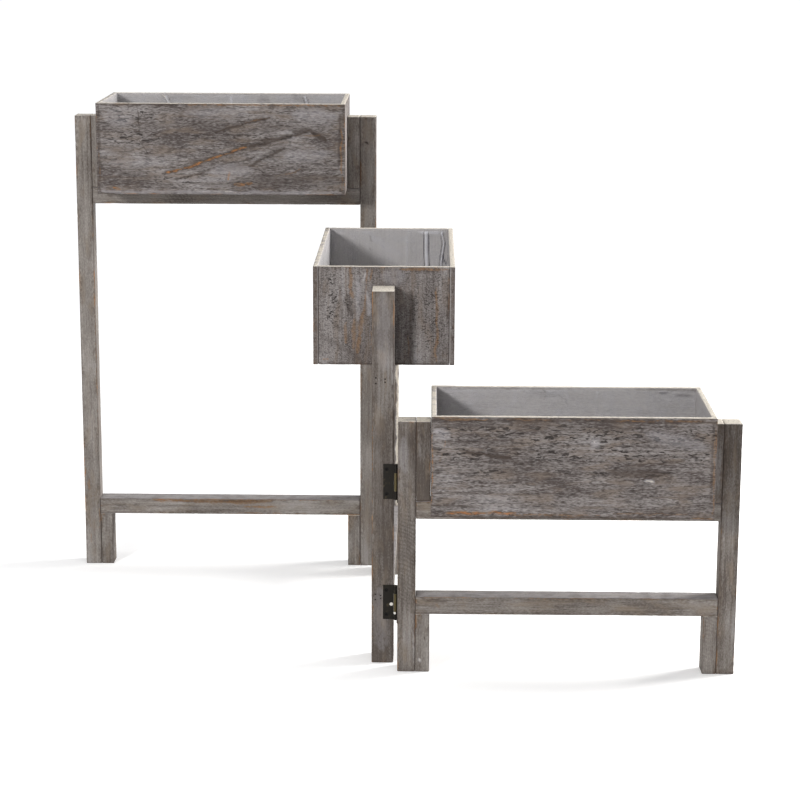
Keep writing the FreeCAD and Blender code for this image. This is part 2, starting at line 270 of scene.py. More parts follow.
def craze_layer(put, read, colour, crazing):
    """Dark dashes and dots where a board is crazed; also where they are."""
    waves = put("TexNoise", named={"Vector": read["craze"], "Scale": 1.0, "Detail": 2.0,
                                   "Distortion": 0.7})
    crack = put("MapRange", waves, 0.560, 0.625, **SMOOTH)
    dots = put("TexVoronoi", named={"Vector": read["craze"], "Scale": 1.45}, out="Distance")
    dots = put("MapRange", dots, 0.14, 0.30, 0.7, 0.0, **SMOOTH)
    crack = put("Math", crack, dots, **LARGER)
    where = put("Math", read["crazed"], put("Math", read["dark"], 0.8, **TIMES), **LARGER)
    where = held_by(put, read, where, 0.6, ("cloud", 0.30, 0.55))
    crack = put("Math", crack, where, **TIMES)
    cracked = put("Math", crack, crazing, **TIMES)
    colour = put("Mix", named={0: cracked, 6: colour, 7: linear("#241e1b")}, **LAYER)
    return colour, crack


def cream_layer(put, read, colour):
    """Thick wash and the painted highlights among the pale marks, then the darker rings of end grain."""
    cream = put("MapRange", read["pale"], 0.28, 0.60, **SMOOTH)
    cream = put("Mix", named={0: cream, 6: linear("#a7a4a7"), 7: linear("#cdc5b7")}, **LAYER)
    pale = put("MapRange", read["pale"], 0.0, 0.62, 0.0, 0.92)
    pale = held_by(put, read, pale, 0.35, ("fleck", 0.30, 0.50))
    colour = put("Mix", named={0: pale, 6: colour, 7: cream}, **LAYER)
    ringed = put("MapRange", read["fibre"], 0.4, 0.6, 0.2, 0.6, **SMOOTH)
    ringed = put("Math", read["end"], ringed, **TIMES)
    return put("Mix", named={0: ringed, 6: colour, 7: linear("#574b43")}, **LAYER)


print("crazing cells are set board by board")

# %% [markdown]
# The relief is about half a millimetre deep: raised fibres, sunken cracks, and on the posts the
# slanting, slightly bowed marks of a saw. The wash is rough, and a little less so where it is
# thick.

# %% Wood finishes
SAW_PITCH = 4.3           # mm from one saw mark to the next
RELIEF_DEPTH = 0.5 * MM


def relief_layer(put, read, colour, crack, rubbed, sawn):
    """The height of the surface, and the colour with its saw marks darkened."""
    relief = put("Math", read["fibre"], 0.35, **TIMES)
    relief = put("Math", read["speck"], 0.45, relief, **TIMES_PLUS)
    relief = put("Math", crack, -0.9, relief, **TIMES_PLUS)
    relief = put("Math", rubbed, -0.25, relief, **TIMES_PLUS)
    slant = put("VectorMath", read["grain"], (0.74, 0.67, 0.3), out="Value", operation="DOT_PRODUCT")
    bowed = put("Math", read["cloud"], 22.0, slant, **TIMES_PLUS)
    turned = put("Math", bowed, math.tau / SAW_PITCH, **TIMES)
    sawing = put("Math", put("Math", turned, operation="SINE"), read["crazed"], **TIMES)
    sawing = put("Math", sawing, sawn, **TIMES)
    relief = put("Math", sawing, 0.6, relief, **TIMES_PLUS)
    sawing = put("Math", sawing, 0.42, use_clamp=True, **TIMES)
    colour = put("Mix", named={0: sawing, 6: colour, 7: linear("#4a413b")}, **LAYER)
    return colour, relief


def washed_wood(name, dark, light, warm, weights, crazing, sawn):
    """A rubbed grey wash on softwood; crazed boards show cracks, saw marks or both."""
    material, put = new_material(name)
    read = read_board(put)
    tone, colour = wash_layer(put, read, dark, light, warm, weights)
    colour = dark_marks(put, read, colour)
    colour, rubbed = rubbed_wood(put, read, colour)
    colour, crack = craze_layer(put, read, colour, crazing)
    colour = cream_layer(put, read, colour)
    colour, relief = relief_layer(put, read, colour, crack, rubbed, sawn)
    bump = put("Bump", named={"Strength": 1.0, "Distance": RELIEF_DEPTH, "Height": relief})
    surface = put("BsdfPrincipled", named={
        "Base Color": colour, "Roughness": put("MapRange", tone, 0.0, 1.0, 0.88, 0.72),
        "Specular IOR Level": 0.35, "Normal": bump})
    put("OutputMaterial", surface, out=None)
    return material


BOX_WOOD = washed_wood("crazed_grey_wash_on_pine", "#48403d", "#918b88", "#73665b",
                       {"cloud": 1.35, "streak": 0.8, "fibre": 0.9, "speck": 2.0}, 0.95, 0.0)
FRAME_WOOD = washed_wood("grey_wash_on_sawn_pine", "#554d47", "#948e88", "#7b6e60",
                         {"cloud": 1.3, "streak": 1.0, "fibre": 0.8, "speck": 1.1}, 0.0, 1.0)
print("wood finishes:", BOX_WOOD.name, "and", FRAME_WOOD.name)

# %% [markdown]
# A few helpers serve every shape: a direction, a cut, the edges that run one way, a block
# between two corners, and the mesh at the end.

# %% Shape helpers


def arrow(axis, length=1.0):
    """A vector along one axis."""
    made = Vector((0, 0, 0))
    made[axis] = length
    return made


def cut(bm, faces, point, axis):
    """Cut some faces where a plane square to an axis passes through a point."""
    geometry = {part for face in faces for part in (face, *face.edges, *face.verts)}
    bmesh.ops.bisect_plane(bm, geom=list(geometry), plane_co=point, plane_no=arrow(axis),
                           dist=1e-7)


def long_edges(bm, axis, length):
    """The edges that run at least a length along an axis."""
    return [edge for edge in bm.edges
            if abs(edge.verts[0].co[axis] - edge.verts[1].co[axis]) > length]


def block(low, high):
    """A bmesh cube stretched between two corners."""
    bm = bmesh.new()
    bmesh.ops.create_cube(bm, size=1.0)
    bmesh.ops.scale(bm, vec=high - low, verts=bm.verts)
    bmesh.ops.translate(bm, vec=(low + high) / 2, verts=bm.verts)
    return bm


def mesh_of(bm, name):
    """The finished bmesh as a mesh."""
    mesh = bpy.data.meshes.new(name)
    bm.to_mesh(mesh)
    bm.free()
    return mesh


print("an arrow up:", tuple(arrow(2)))

# %% [markdown]
# A board starts as a block of the size the frame gives, with its arrises eased by a bevel. It is
# then cut into a fine grid, because worn edges and chips have to be real shape. Brads were
# driven through the posts' outer faces and their heads sit in small pits, so each pit is cut in
# too: a square of fine cuts, a ring pulled round, and a face pushed in.

# %% Board shape
EASE = 0.9 * MM
PIT_RADIUS = 1.15 * MM
PIT_DEPTH = 1.6 * MM
PIT_SQUARE = 1.6 * PIT_RADIUS    # half of the square that is cut round a pit
FACING = 0.99                    # a normal's share along a direction it looks in


def sink_pit(bm, centre, outward):
    """Push a small round hole into the flat face that looks outward at the centre."""
    flat = [axis for axis in range(3) if abs(outward[axis]) < 0.5]
    for axis in flat:
        for side in (-PIT_SQUARE, PIT_SQUARE):
            near = [face for face in bm.faces if face.normal.dot(outward) > FACING
                    and (face.calc_center_median() - centre).length < 6 * MM]
            cut(bm, near, centre + arrow(axis, side), axis)
    inner = [face for face in bm.faces if face.normal.dot(outward) > FACING
             and max(abs((face.calc_center_median() - centre)[axis]) for axis in flat)
             < PIT_SQUARE]
    whole = bmesh.ops.dissolve_faces(bm, faces=inner, use_verts=False)["region"][0]
    bmesh.ops.subdivide_edges(bm, edges=list(whole.edges), cuts=1)
    bmesh.ops.inset_individual(bm, faces=[whole], thickness=0.35 * MM)
    for depth in (0.0, PIT_DEPTH):
        if depth:
            whole = bmesh.ops.extrude_discrete_faces(bm, faces=[whole])["faces"][0]
        for vert in whole.verts:
            arm = vert.co - centre
            arm -= arm.dot(outward) * outward
            vert.co = centre + arm.normalized() * PIT_RADIUS - outward * depth


def board_mesh(low, high, cell, pits=(), outward=None):
    """An eased board, cut into a grid of about cell metres, with its pits sunk."""
    size = high - low
    bm = block(low, high)
    bmesh.ops.bevel(bm, geom=bm.edges[:], offset=EASE, segments=2, profile=0.5,
                    affect="EDGES", material=-1)
    for axis in range(3):
        cuts = round(size[axis] / cell) - 1
        if cuts > 0:
            bmesh.ops.subdivide_edges(bm, edges=long_edges(bm, axis, size[axis] - 3 * EASE),
                                      cuts=cuts, use_grid_fill=True)
    for centre in pits:
        sink_pit(bm, centre, outward)
    return mesh_of(bm, "board")


print("arrises are eased by", round(EASE / MM, 1), "mm")

# %% [markdown]
# Wear is a second pass over the finished grid: points near an arris are pulled in by noise, with
# a few deeper chips, and the faces wave by a tenth of a millimetre. Nothing is ever pushed out,
# so boards that touch keep clear of each other.

# %% Wear
RUB_DEPTH, CHIP_DEPTH, WAVE_DEPTH = 0.55 * MM, 1.1 * MM, 0.10 * MM
BLOTCH, BLOTCH_ALONG = 11 * MM, 45 * MM    # how broad the rubbing is, across and along
CHIP, CHIP_ALONG = 4 * MM, 9 * MM


def values_of(mesh, key):
    """A mesh's vertex positions or normals, one row each."""
    flat = np.empty(len(mesh.vertices) * 3)
    mesh.vertices.foreach_get(key, flat)
    return flat.reshape(-1, 3)


def smoothstep(low, high, value):
    """0 at low, 1 at high, eased at both ends."""
    share = np.clip((value - low) / (high - low), 0.0, 1.0)
    return share * share * (3 - 2 * share)


def noise_at(points, size, seed, kind=noise.noise):
    """Noise of about -1 to 1 at each point; size is the blotch in metres."""
    return np.array([kind(Vector(place)) for place in points / np.asarray(size) + seed])


def depth_in(points, low, high):
    """Distances to the nearest pair of faces, sorted: to a face, an arris and a corner."""
    half, middle = np.array(high - low) / 2, np.array(high + low) / 2
    return np.sort(half - np.abs(points - middle), axis=1)


def wear(mesh, low, high, along, seed):
    """Rub the arrises unevenly and knock chips out of them."""
    points, normals = values_of(mesh, "co"), values_of(mesh, "normal")
    depth = depth_in(points, low, high)
    blotch, small = np.full(3, BLOTCH), np.full(3, CHIP)
    blotch[along], small[along] = BLOTCH_ALONG, CHIP_ALONG
    rub = np.clip(noise_at(points, blotch, seed) * 0.5 + 0.38, 0, 1)
    chip = smoothstep(0.28, 0.60, noise_at(points, small, seed + 40))
    near = np.exp(-np.abs(depth[:, 1]) / (1.5 * MM))
    inward = near * (RUB_DEPTH * rub + CHIP_DEPTH * chip * rub)
    inward += WAVE_DEPTH * (noise_at(points, blotch * 0.6, seed + 80) * 0.5 + 0.5)
    inward[depth[:, 0] > EASE] = 0.0
    mesh.vertices.foreach_set("co", (points - normals * inward[:, None]).ravel())
    mesh.update()


print("a quarter of the way up a smoothstep:", float(smoothstep(0.0, 1.0, 0.25)))

# %% [markdown]
# Marks are strokes: a line with a width and a strength, drawn through a little noise so that no
# border is straight. The boards at the front of the boxes have marks of their own, chosen and
# given as shares of the face's width and height, left to right and bottom to top. Every
# other face gets its marks from a seeded draw.

# %% Strokes
KINDS = {"dark": 0, "bare": 1, "pale": 2, "craze": 3}
MARKS_PER_AREA = 230    # random marks to a square metre of board


def from_line(points, start, end):
    """How far along a straight line each point is, 0 to 1, and how far away from it."""
    run = end - start
    share = np.clip((points - start) @ run / max(run @ run, 1e-12), 0, 1)
    return share, np.linalg.norm(points - start - share[:, None] * run, axis=1)


def stroke_value(points, start, end, width):
    """How strongly one tapering stroke covers each point, 0 to 1."""
    share, gap = from_line(points, start, end)
    taper = width * (0.45 + 0.55 * np.sqrt(np.clip(4 * share * (1 - share), 0, 1)))
    return smoothstep(1.35, 0.30, gap / taper)


def stroke_amounts(points, marks, seed):
    """The dark, bare, pale and crazed amounts at each point."""
    warp = noise_at(points, 0.016, seed, noise.noise_vector)
    fine = noise_at(points, 0.004, seed, noise.noise_vector)
    bent = points + warp * 2.4 * MM + fine * 1.1 * MM
    amounts = np.zeros((len(points), 4))
    for kind, start, end, width, strength in marks:
        column = KINDS[kind]
        value = strength * stroke_value(bent, start, end, width)
        amounts[:, column] = np.maximum(amounts[:, column], value)
    return amounts


def drawn_marks(low, high, along, rng):
    """Random strokes on a board's surface, mostly along its grain."""
    size = np.array(high - low)
    area = 2 * (size[0] * size[1] + size[1] * size[2] + size[2] * size[0])
    marks = []
    for _ in range(max(4, round(area * MARKS_PER_AREA))):
        kind = rng.choices(("dark", "bare", "pale"), (6, 1.6, 0.8))[0]
        start = np.array(low) + size * np.array([rng.random() for _ in range(3)])
        side = rng.choice([axis for axis in range(3) if axis != along])
        start[side] = (low if rng.random() < 0.5 else high)[side]
        run = np.array([rng.uniform(-1, 1) for _ in range(3)]) * 7 * MM
        run[along] = rng.uniform(0.015, 0.10) * (0.25 if kind == "pale" else 1.0)
        run[side] = 0
        marks.append((kind, start, start + run, rng.uniform(0.7, 3.0) * MM,
                      rng.uniform(0.2, 0.75)))
    return marks


def front_marks(low, high, chosen):
    """Chosen strokes on the face that looks towards -Y, kind by kind: each is a half width in
    mm, a strength and the corners of its path."""
    marks = []
    for kind, strokes in chosen.items():
        for width, strength, *path in strokes:
            corners = [np.array((low.x + x * (high.x - low.x), low.y,
                                 low.z + z * (high.z - low.z))) for x, z in path]
            for start, end in zip(corners, corners[1:]):
                marks.append((kind, start, end, width * MM, strength))
    return marks


print("kinds of mark:", ", ".join(KINDS))

# %% [markdown]
# The chosen marks follow the wood: on the tall box long rubbed streaks climb to the right with
# an orange core, on the low box two dark smears lie along the grain, and on the middle box's end
# they stand upright. Knots are short wide strokes.

# %% Chosen marks
CHOSEN = {
    "tall_box_side_front": {
        "craze": [(16, 1.0, (0.05, 0.85), (0.24, 0.85)), (16, 0.9, (0.05, 0.62), (0.26, 0.62)),
            (12, 0.9, (0.3, 0.66), (0.66, 0.66)), (9, 0.8, (0.22, 0.14), (0.42, 0.16)),
            (13, 0.5, (0.3, 0.42), (0.75, 0.45)), (9, 0.6, (0.55, 0.14), (0.8, 0.16)),
            (16, 0.35, (0.75, 0.3), (0.92, 0.75))],
        "dark": [(1.6, 0.9, (0.17, 1.0), (0.171, 0.68)), (4.0, 0.45, (0.155, 0.7), (0.19, 0.66)),
            (1.2, 0.8, (0.17, 0.6), (0.21, 0.43)), (0.9, 0.5, (0.56, 0.96), (0.56, 0.87)),
            (1.6, 0.5, (0.28, 0.52), (0.387, 0.6), (0.49, 0.69), (0.6, 0.78)),
            (3.4, 0.95, (0.48, 0.68), (0.6, 0.78), (0.7, 0.845)), (4.0, 0.3, (0.2, 0.76), (0.62, 0.78)),
            (1.3, 0.9, (0.55, 0.65), (0.64, 0.655)),
            (1.2, 0.6, (0.27, 0.3), (0.43, 0.43), (0.565, 0.557), (0.71, 0.65), (0.81, 0.69)),
            (4.2, 0.95, (0.264, 0.235), (0.34, 0.27), (0.43, 0.36), (0.52, 0.45), (0.61, 0.525),
                (0.71, 0.59), (0.79, 0.65), (0.86, 0.7), (0.92, 0.61)),
            (2.0, 0.9, (0.3, 0.155), (0.39, 0.216), (0.49, 0.32), (0.59, 0.38), (0.64, 0.42)),
            (4.0, 0.9, (0.61, 0.31), (0.68, 0.41), (0.76, 0.53)),
            (4.5, 0.85, (0.66, 0.6), (0.73, 0.62), (0.8, 0.66)), (5.0, 0.45, (0.66, 0.4), (0.77, 0.58)),
            (5.5, 0.85, (0.79, 0.7), (0.86, 0.71), (0.92, 0.6)),
            (1.6, 0.5, (0.43, 0.05), (0.61, 0.134), (0.71, 0.2), (0.79, 0.25), (0.885, 0.36)),
            (7.0, 0.42, (0.42, 0.11), (0.96, 0.13)), (4.5, 0.5, (0.56, 0.13), (0.7, 0.2)),
            (1.0, 0.9, (0.524, 0.15), (0.523, 0.24)),
            (1.2, 0.85, (0.055, 0.12), (0.085, 0.105), (0.11, 0.13)),
            (1.2, 0.7, (0.01, 0.5), (0.045, 0.52), (0.08, 0.49)),
            (1.6, 0.8, (0.0, 0.985), (0.36, 0.985)), (3.0, 0.75, (0.01, 0.03), (0.012, 0.97)),
            (3.0, 0.7, (0.975, 0.3), (0.98, 0.9)), (2.6, 0.7, (0.925, 0.97), (0.94, 0.93)),
            (10.0, 0.3, (0.12, 0.25), (0.3, 0.1)), (9.0, 0.28, (0.04, 0.45), (0.14, 0.5)),
            (1.3, 0.8, (0.25, 0.27), (0.4, 0.36), (0.55, 0.5), (0.66, 0.6)),
            (1.1, 0.7, (0.4, 0.6), (0.52, 0.63), (0.64, 0.66)),
            (1.4, 0.7, (0.56, 0.43), (0.66, 0.5), (0.8, 0.6)),
            (5.0, 0.45, (0.36, 0.33), (0.56, 0.46), (0.72, 0.6)),
            (6.0, 0.35, (0.48, 0.26), (0.66, 0.36), (0.8, 0.52)), (6.0, 0.3, (0.6, 0.72), (0.84, 0.74)),
            (7.0, 0.5, (0.6, 0.17), (0.97, 0.2))],
        "bare": [(1.5, 0.45, (0.6, 0.79), (0.7, 0.845)),
            (2.5, 1.0, (0.275, 0.24), (0.34, 0.27), (0.43, 0.36), (0.52, 0.45), (0.61, 0.525)),
            (1.6, 0.6, (0.76, 0.225), (0.82, 0.29)), (2.5, 1.0, (0.532, 0.165), (0.532, 0.25)),
            (2.8, 0.95, (0.55, 0.1), (0.6, 0.125), (0.63, 0.135)),
            (2.8, 0.95, (0.062, 0.075), (0.095, 0.05)), (1.8, 0.9, (0.34, 0.985), (1.0, 0.985)),
            (1.2, 0.7, (0.012, 0.1), (0.014, 0.5)), (1.8, 0.9, (0.985, 0.05), (0.985, 0.75)),
            (1.6, 0.45, (0.8, 0.64), (0.9, 0.66))],
        "pale": [(3.6, 0.24, (0.02, 0.025), (0.98, 0.02)), (1.2, 0.5, (0.48, 0.035), (0.557, 0.035)),
            (12.0, 0.14, (0.04, 0.86), (0.14, 0.8)), (13.0, 0.18, (0.8, 0.88), (0.96, 0.85)),
            (11.0, 0.15, (0.76, 0.42), (0.92, 0.45)), (11.0, 0.16, (0.47, 0.27), (0.62, 0.27)),
            (9.0, 0.1, (0.06, 0.34), (0.28, 0.36)), (10.0, 0.12, (0.36, 0.9), (0.6, 0.9))],
    },
    "tall_box_side_back": {
        "dark": [(9.0, 0.6, (0.62, 0.93), (0.66, 0.9)), (7.0, 0.55, (0.76, 0.97), (0.82, 0.9)),
            (4.0, 0.35, (0.2, 0.92), (0.34, 0.95))],
        "bare": [(5.0, 0.45, (0.88, 0.97), (0.95, 0.95))],
        # The narrow, strongest pale stroke, a fifth of the way along, is a painted glint of the film fold
        # there.
        "pale": [(8.0, 0.22, (0.48, 0.96), (0.56, 0.94)), (1.2, 1.0, (0.21, 0.985), (0.235, 0.9))],
    },
    "low_box_side_back": {
        "dark": [(1.6, 0.85, (0.41, 0.985), (0.43, 0.93), (0.42, 0.88)),
            (1.2, 0.8, (0.47, 0.92), (0.5, 0.86), (0.51, 0.8)), (4.0, 0.4, (0.36, 0.97), (0.46, 0.9)),
            (3.0, 0.9, (0.8, 0.985), (1.0, 0.97)), (1.6, 0.7, (0.03, 0.985), (0.52, 0.985)),
            (2.0, 0.35, (0.1, 0.8), (0.34, 0.78)), (2.0, 0.3, (0.55, 0.75), (0.85, 0.73))],
        "bare": [(9.0, 0.5, (0.93, 0.95), (0.96, 0.7)), (4.0, 0.35, (0.26, 0.9), (0.4, 0.75))],
    },
    "middle_box_end_back": {
        "dark": [(2.4, 0.7, (0.33, 0.92), (0.36, 0.85)), (1.4, 0.6, (0.33, 0.8), (0.34, 0.74)),
            (3.0, 0.3, (0.05, 0.6), (0.3, 0.3))],
        "bare": [(1.2, 0.85, (0.47, 0.9), (0.5, 0.6), (0.52, 0.4)), (3.0, 0.3, (0.45, 0.7), (0.52, 0.2))],
        "pale": [(6.0, 0.35, (0.36, 0.9), (0.6, 0.7))],
    },
    "low_box_side_front": {
        "craze": [(20, 1.0, (0.02, 0.84), (0.98, 0.82)), (17, 1.0, (0.02, 0.64), (0.97, 0.62)),
            (9, 0.8, (0.15, 0.46), (0.55, 0.48)), (12, 0.9, (0.55, 0.47), (0.85, 0.44)),
            (12, 0.5, (0.8, 0.28), (0.93, 0.24))],
        "dark": [(3.0, 0.85, (0.0, 0.965), (1.0, 0.965)), (1.5, 0.75, (0.01, 0.65), (0.12, 0.64)),
            (3.4, 0.95, (0.12, 0.645), (0.186, 0.63), (0.28, 0.6)),
            (2.4, 0.65, (0.25, 0.585), (0.36, 0.53)), (8.0, 0.4, (0.2, 0.5), (0.3, 0.46)),
            (2.0, 0.9, (0.64, 0.515), (0.753, 0.547), (0.887, 0.577)),
            (7.0, 0.6, (0.63, 0.47), (0.83, 0.46)), (3.0, 0.55, (0.7, 0.43), (0.8, 0.42)),
            (1.1, 0.85, (0.58, 0.33), (0.636, 0.332)), (9.0, 0.3, (0.3, 0.9), (0.7, 0.88)),
            (5.0, 0.45, (0.02, 0.9), (0.25, 0.92)), (2.0, 0.6, (0.02, 0.244), (0.17, 0.244)),
            (1.6, 0.35, (0.15, 0.245), (0.34, 0.23)), (2.4, 0.7, (0.02, 0.116), (0.17, 0.11)),
            (2.0, 0.35, (0.3, 0.12), (0.72, 0.1)), (4.0, 0.45, (0.76, 0.08), (0.9, 0.08)),
            (2.4, 0.6, (0.985, 0.2), (0.985, 0.95)), (2.0, 0.8, (0.0, 0.01), (1.0, 0.01))],
        "bare": [(2.0, 0.7, (0.03, 0.975), (0.2, 0.975)), (1.8, 0.8, (0.62, 0.97), (0.96, 0.97)),
            (1.4, 0.6, (0.22, 0.975), (0.6, 0.975)),
            (1.0, 0.6, (0.057, 0.84), (0.045, 0.7), (0.028, 0.535)),
            (3.0, 0.95, (0.05, 0.05), (0.3, 0.05)), (1.5, 0.8, (0.28, 0.035), (0.6, 0.03)),
            (1.6, 0.5, (0.62, 0.05), (0.95, 0.05)), (1.5, 1.0, (0.004, 0.05), (0.004, 0.97)),
            (1.6, 0.8, (0.993, 0.05), (0.993, 0.9))],
        "pale": [(2.2, 0.52, (0.745, 0.375), (0.785, 0.37)), (12.0, 0.22, (0.57, 0.76), (0.58, 0.74)),
            (1.8, 0.7, (0.57, 0.755), (0.573, 0.75)), (11.0, 0.16, (0.76, 0.84), (0.95, 0.72)),
            (9.0, 0.2, (0.02, 0.86), (0.06, 0.8))],
    },
    "middle_box_end_front": {
        "craze": [(13, 1.0, (0.11, 0.9), (0.11, 0.42)), (7, 0.9, (0.2, 0.66), (0.26, 0.5)),
            (20, 0.9, (0.86, 0.75), (0.86, 0.2)), (12, 0.6, (0.74, 0.7), (0.72, 0.2)),
            (9, 0.35, (0.3, 0.85), (0.33, 0.3))],
        "dark": [(6.5, 0.75, (0.22, 0.7), (0.25, 0.5)), (4.0, 0.5, (0.13, 0.42), (0.16, 0.34)),
            (4.5, 0.65, (0.715, 0.75), (0.705, 0.4), (0.7, 0.02)),
            (2.6, 0.45, (0.61, 0.5), (0.61, 0.05)), (0.9, 0.8, (0.87, 0.9), (0.9, 0.68), (0.903, 0.45)),
            (1.6, 0.75, (0.985, 0.82), (0.985, 0.42)), (2.0, 0.6, (0.7, 0.96), (0.95, 0.955)),
            (1.8, 0.85, (0.0, 0.012), (1.0, 0.012)), (5.0, 0.35, (0.02, 0.3), (0.3, 0.07))],
        "bare": [(3.4, 0.7, (0.247, 0.99), (0.25, 0.75), (0.258, 0.68)),
            (3.4, 0.55, (0.206, 0.42), (0.206, 0.22)), (3.6, 0.56, (0.27, 0.46), (0.268, 0.16)),
            (2.0, 0.74, (0.37, 0.98), (0.37, 0.81), (0.346, 0.57)),
            (4.2, 0.68, (0.346, 0.57), (0.313, 0.3), (0.305, 0.12)),
            (1.3, 0.75, (0.41, 0.97), (0.395, 0.84)), (1.3, 0.75, (0.403, 0.38), (0.407, 0.08)),
            (1.5, 0.6, (0.69, 0.3), (0.69, 0.05)),
            (2.6, 0.74, (0.895, 0.78), (0.905, 0.41), (0.897, 0.03)),
            (2.4, 0.8, (0.61, 0.975), (1.0, 0.975)), (2.4, 0.7, (0.03, 0.05), (0.08, 0.055))],
        "pale": [(1.8, 0.45, (0.358, 0.97), (0.352, 0.85)), (3.5, 0.35, (0.37, 0.76), (0.395, 0.5)),
            (4.0, 0.22, (0.305, 0.9), (0.3, 0.45)), (13.0, 0.17, (0.5, 0.88), (0.64, 0.9))],
    },
    "middle_box_side_left": {
        "dark": [(2.2, 0.8, (0.3, 0.85), (0.55, 0.68)), (1.6, 0.6, (0.1, 0.05), (0.1, 0.95))],
        "bare": [(1.0, 0.8, (0.9, 0.1), (0.9, 0.55))],
    },
    "tall_post_right": {
        "dark": [(1.9, 1.0, (0.18, 0.946), (0.55, 0.941))],
        "bare": [(1.2, 0.9, (0.99, 0.55), (0.99, 0.97))],
    },
    "tall_post_left": {
        "dark": [(1.2, 0.7, (0.98, 0.75), (0.98, 0.99)), (1.4, 0.5, (0.55, 0.2), (0.6, 0.42)),
            (0.9, 0.7, (0.95, 0.4), (0.95, 0.55))],
        "bare": [(1.0, 0.7, (0.97, 0.2), (0.97, 0.62)), (1.7, 1.0, (0.03, 0.18), (0.03, 0.28)),
            (1.2, 0.8, (0.03, 0.09), (0.03, 0.18)), (1.5, 0.8, (0.35, 0.05), (0.35, 0.1)),
            (1.5, 0.8, (0.94, 0.08), (0.94, 0.13)), (1.8, 0.7, (0.25, 0.2), (0.32, 0.16))],
    },
    "middle_post_front": {
        "dark": [(1.5, 0.8, (0.97, 0.03), (0.98, 0.97)), (1.2, 0.4, (0.45, 0.5), (0.45, 0.68)),
            (13.0, 0.4, (0.45, 0.66), (0.5, 0.3))],
        "bare": [(1.1, 1.0, (0.01, 0.3), (0.01, 0.72)), (1.0, 0.9, (0.01, 0.05), (0.01, 0.3)),
            (1.0, 0.6, (0.97, 0.88), (0.97, 0.97))],
        "pale": [(13.0, 0.13, (0.5, 0.99), (0.55, 0.8)), (12.0, 0.14, (0.4, 0.2), (0.5, 0.04))],
    },
    "middle_post_back": {
        # A pale upright stripe near the right arris of this post's front face.
        "pale": [(3.0, 0.9, (0.96, 0.02), (0.96, 0.8))],
    },
    "low_post_left": {
        "craze": [(20, 1.0, (0.5, 0.62), (0.5, 0.42)), (20, 0.7, (0.5, 0.42), (0.5, 0.3))],
        "dark": [(8.0, 0.4, (0.8, 0.98), (0.85, 0.8)),
            (3.0, 0.4, (0.3, 0.755), (0.75, 0.74), (0.9, 0.72)), (1.5, 0.85, (0.99, 0.05), (0.99, 0.66)),
            (0.8, 0.8, (0.25, 0.145), (0.45, 0.135)), (0.8, 0.5, (0.1, 0.96), (0.95, 0.955))],
        "bare": [(0.9, 0.5, (0.98, 0.1), (0.98, 0.3))],
        "pale": [(7.0, 0.18, (0.3, 0.93), (0.36, 0.8))],
    },
    "low_foot_block_left": {
        "dark": [(1.3, 1.0, (0.6, 0.62), (0.48, 0.4))],
        "pale": [(2.6, 0.5, (0.25, 0.24), (0.32, 0.18))],
    },
    "low_spacer_left": {
        "dark": [(2.0, 0.6, (0.3, 0.85), (0.45, 0.8)), (2.4, 0.9, (0.0, 0.01), (1.0, 0.01))],
    },
    "low_lower_rail": {
        "dark": [(3.0, 0.6, (0.03, 0.8), (0.12, 0.78))],
        "bare": [(3.0, 0.4, (0.07, 0.6), (0.08, 0.3)), (1.0, 0.8, (0.15, 0.97), (0.85, 0.97))],
    },
    "tall_lower_rail": {
        "dark": [(1.4, 0.6, (0.02, 0.55), (0.4, 0.5)),
            (3.6, 0.9, (0.28, 0.88), (0.42, 0.82), (0.64, 0.88))],
        "bare": [(1.1, 0.9, (0.1, 0.97), (0.9, 0.97)),
            (4.4, 0.72, (0.2, 0.95), (0.34, 0.86), (0.48, 0.8), (0.66, 0.86)),
            (1.6, 0.88, (0.21, 0.94), (0.34, 0.88)), (2.0, 0.84, (0.55, 0.52), (0.68, 0.46)),
            (1.6, 0.8, (0.48, 0.06), (0.8, 0.06))],
    },
}
print("chosen marks on", len(CHOSEN), "boards")

# %% [markdown]
# Boards differ in how much wash they took, so a few have a tone of their own; the low frame's
# spacers and right post are darkened as painted shade, for the shadow the box casts on them. The
# crazing runs in long flat cells on the boxes' long sides and in small ticks on their ends, where
# the board was planed across. Rims and post tops are cream, partly the thickest wash and partly a
# painted highlight of the light from above.

# %% Board attributes
# The low frame's spacers and right post are darkened here as painted shade.
BOARD_TONES_AND_SHADE = {"middle_post_front": -0.32, "middle_post_back": -0.26, "low_post_left": -0.15,
         "low_spacer_left": -0.48, "low_spacer_right": -0.36, "low_post_right": -0.24,
         "tall_post_left": 0.12, "tall_lower_rail": 0.10, "tall_post_right": 0.10,
         "low_box_side_front": -0.16, "tall_box_side_front": -0.10}
CELL_LONG = (12.0, 3.4)    # mm along and up one crazing cell on a long board
CELL_END = (3.4, 2.0)      # mm across and up one cell on an end board
CELL_FRAME = (7.0, 3.0)    # mm along and across one cell on a post or rail


def grain_axes(node, size):
    """Which axes run along, across and through a board."""
    upright = any(word in node for word in ("post", "foot", "spacer", "box_end"))
    along = 2 if upright else max(range(3), key=lambda axis: size[axis])
    across, through = sorted((axis for axis in range(3) if axis != along),
                             key=lambda axis: -size[axis])
    return along, across, through


def set_attribute(mesh, title, values):
    """Store one number or one vector for each vertex."""
    kind, key = ("FLOAT_VECTOR", "vector") if values.ndim == 2 else ("FLOAT", "value")
    made = mesh.attributes.new(title, kind, "POINT")
    made.data.foreach_set(key, np.ascontiguousarray(values, np.float32).ravel())


print(len(BOARD_TONES_AND_SHADE), "boards have a tone of their own")

# %% [markdown]
# Each board's attributes are worked out once from its final shape. On a box board the inner
# face is told apart, because it is paler, partly as painted fill light, and hardly crazed; end
# faces and brad pits are told apart by where they are. Brad pits and the deepest chips get the
# full dark mark as painted shade.

# %% Dressing a board
# Top faces are cream partly from thick wash and partly as a painted highlight of the light from above.
RAIL_RIM, LEFT_RIM, RIM = 0.36, 0.60, 0.90    # how cream the top of a rail, and of other boards, is


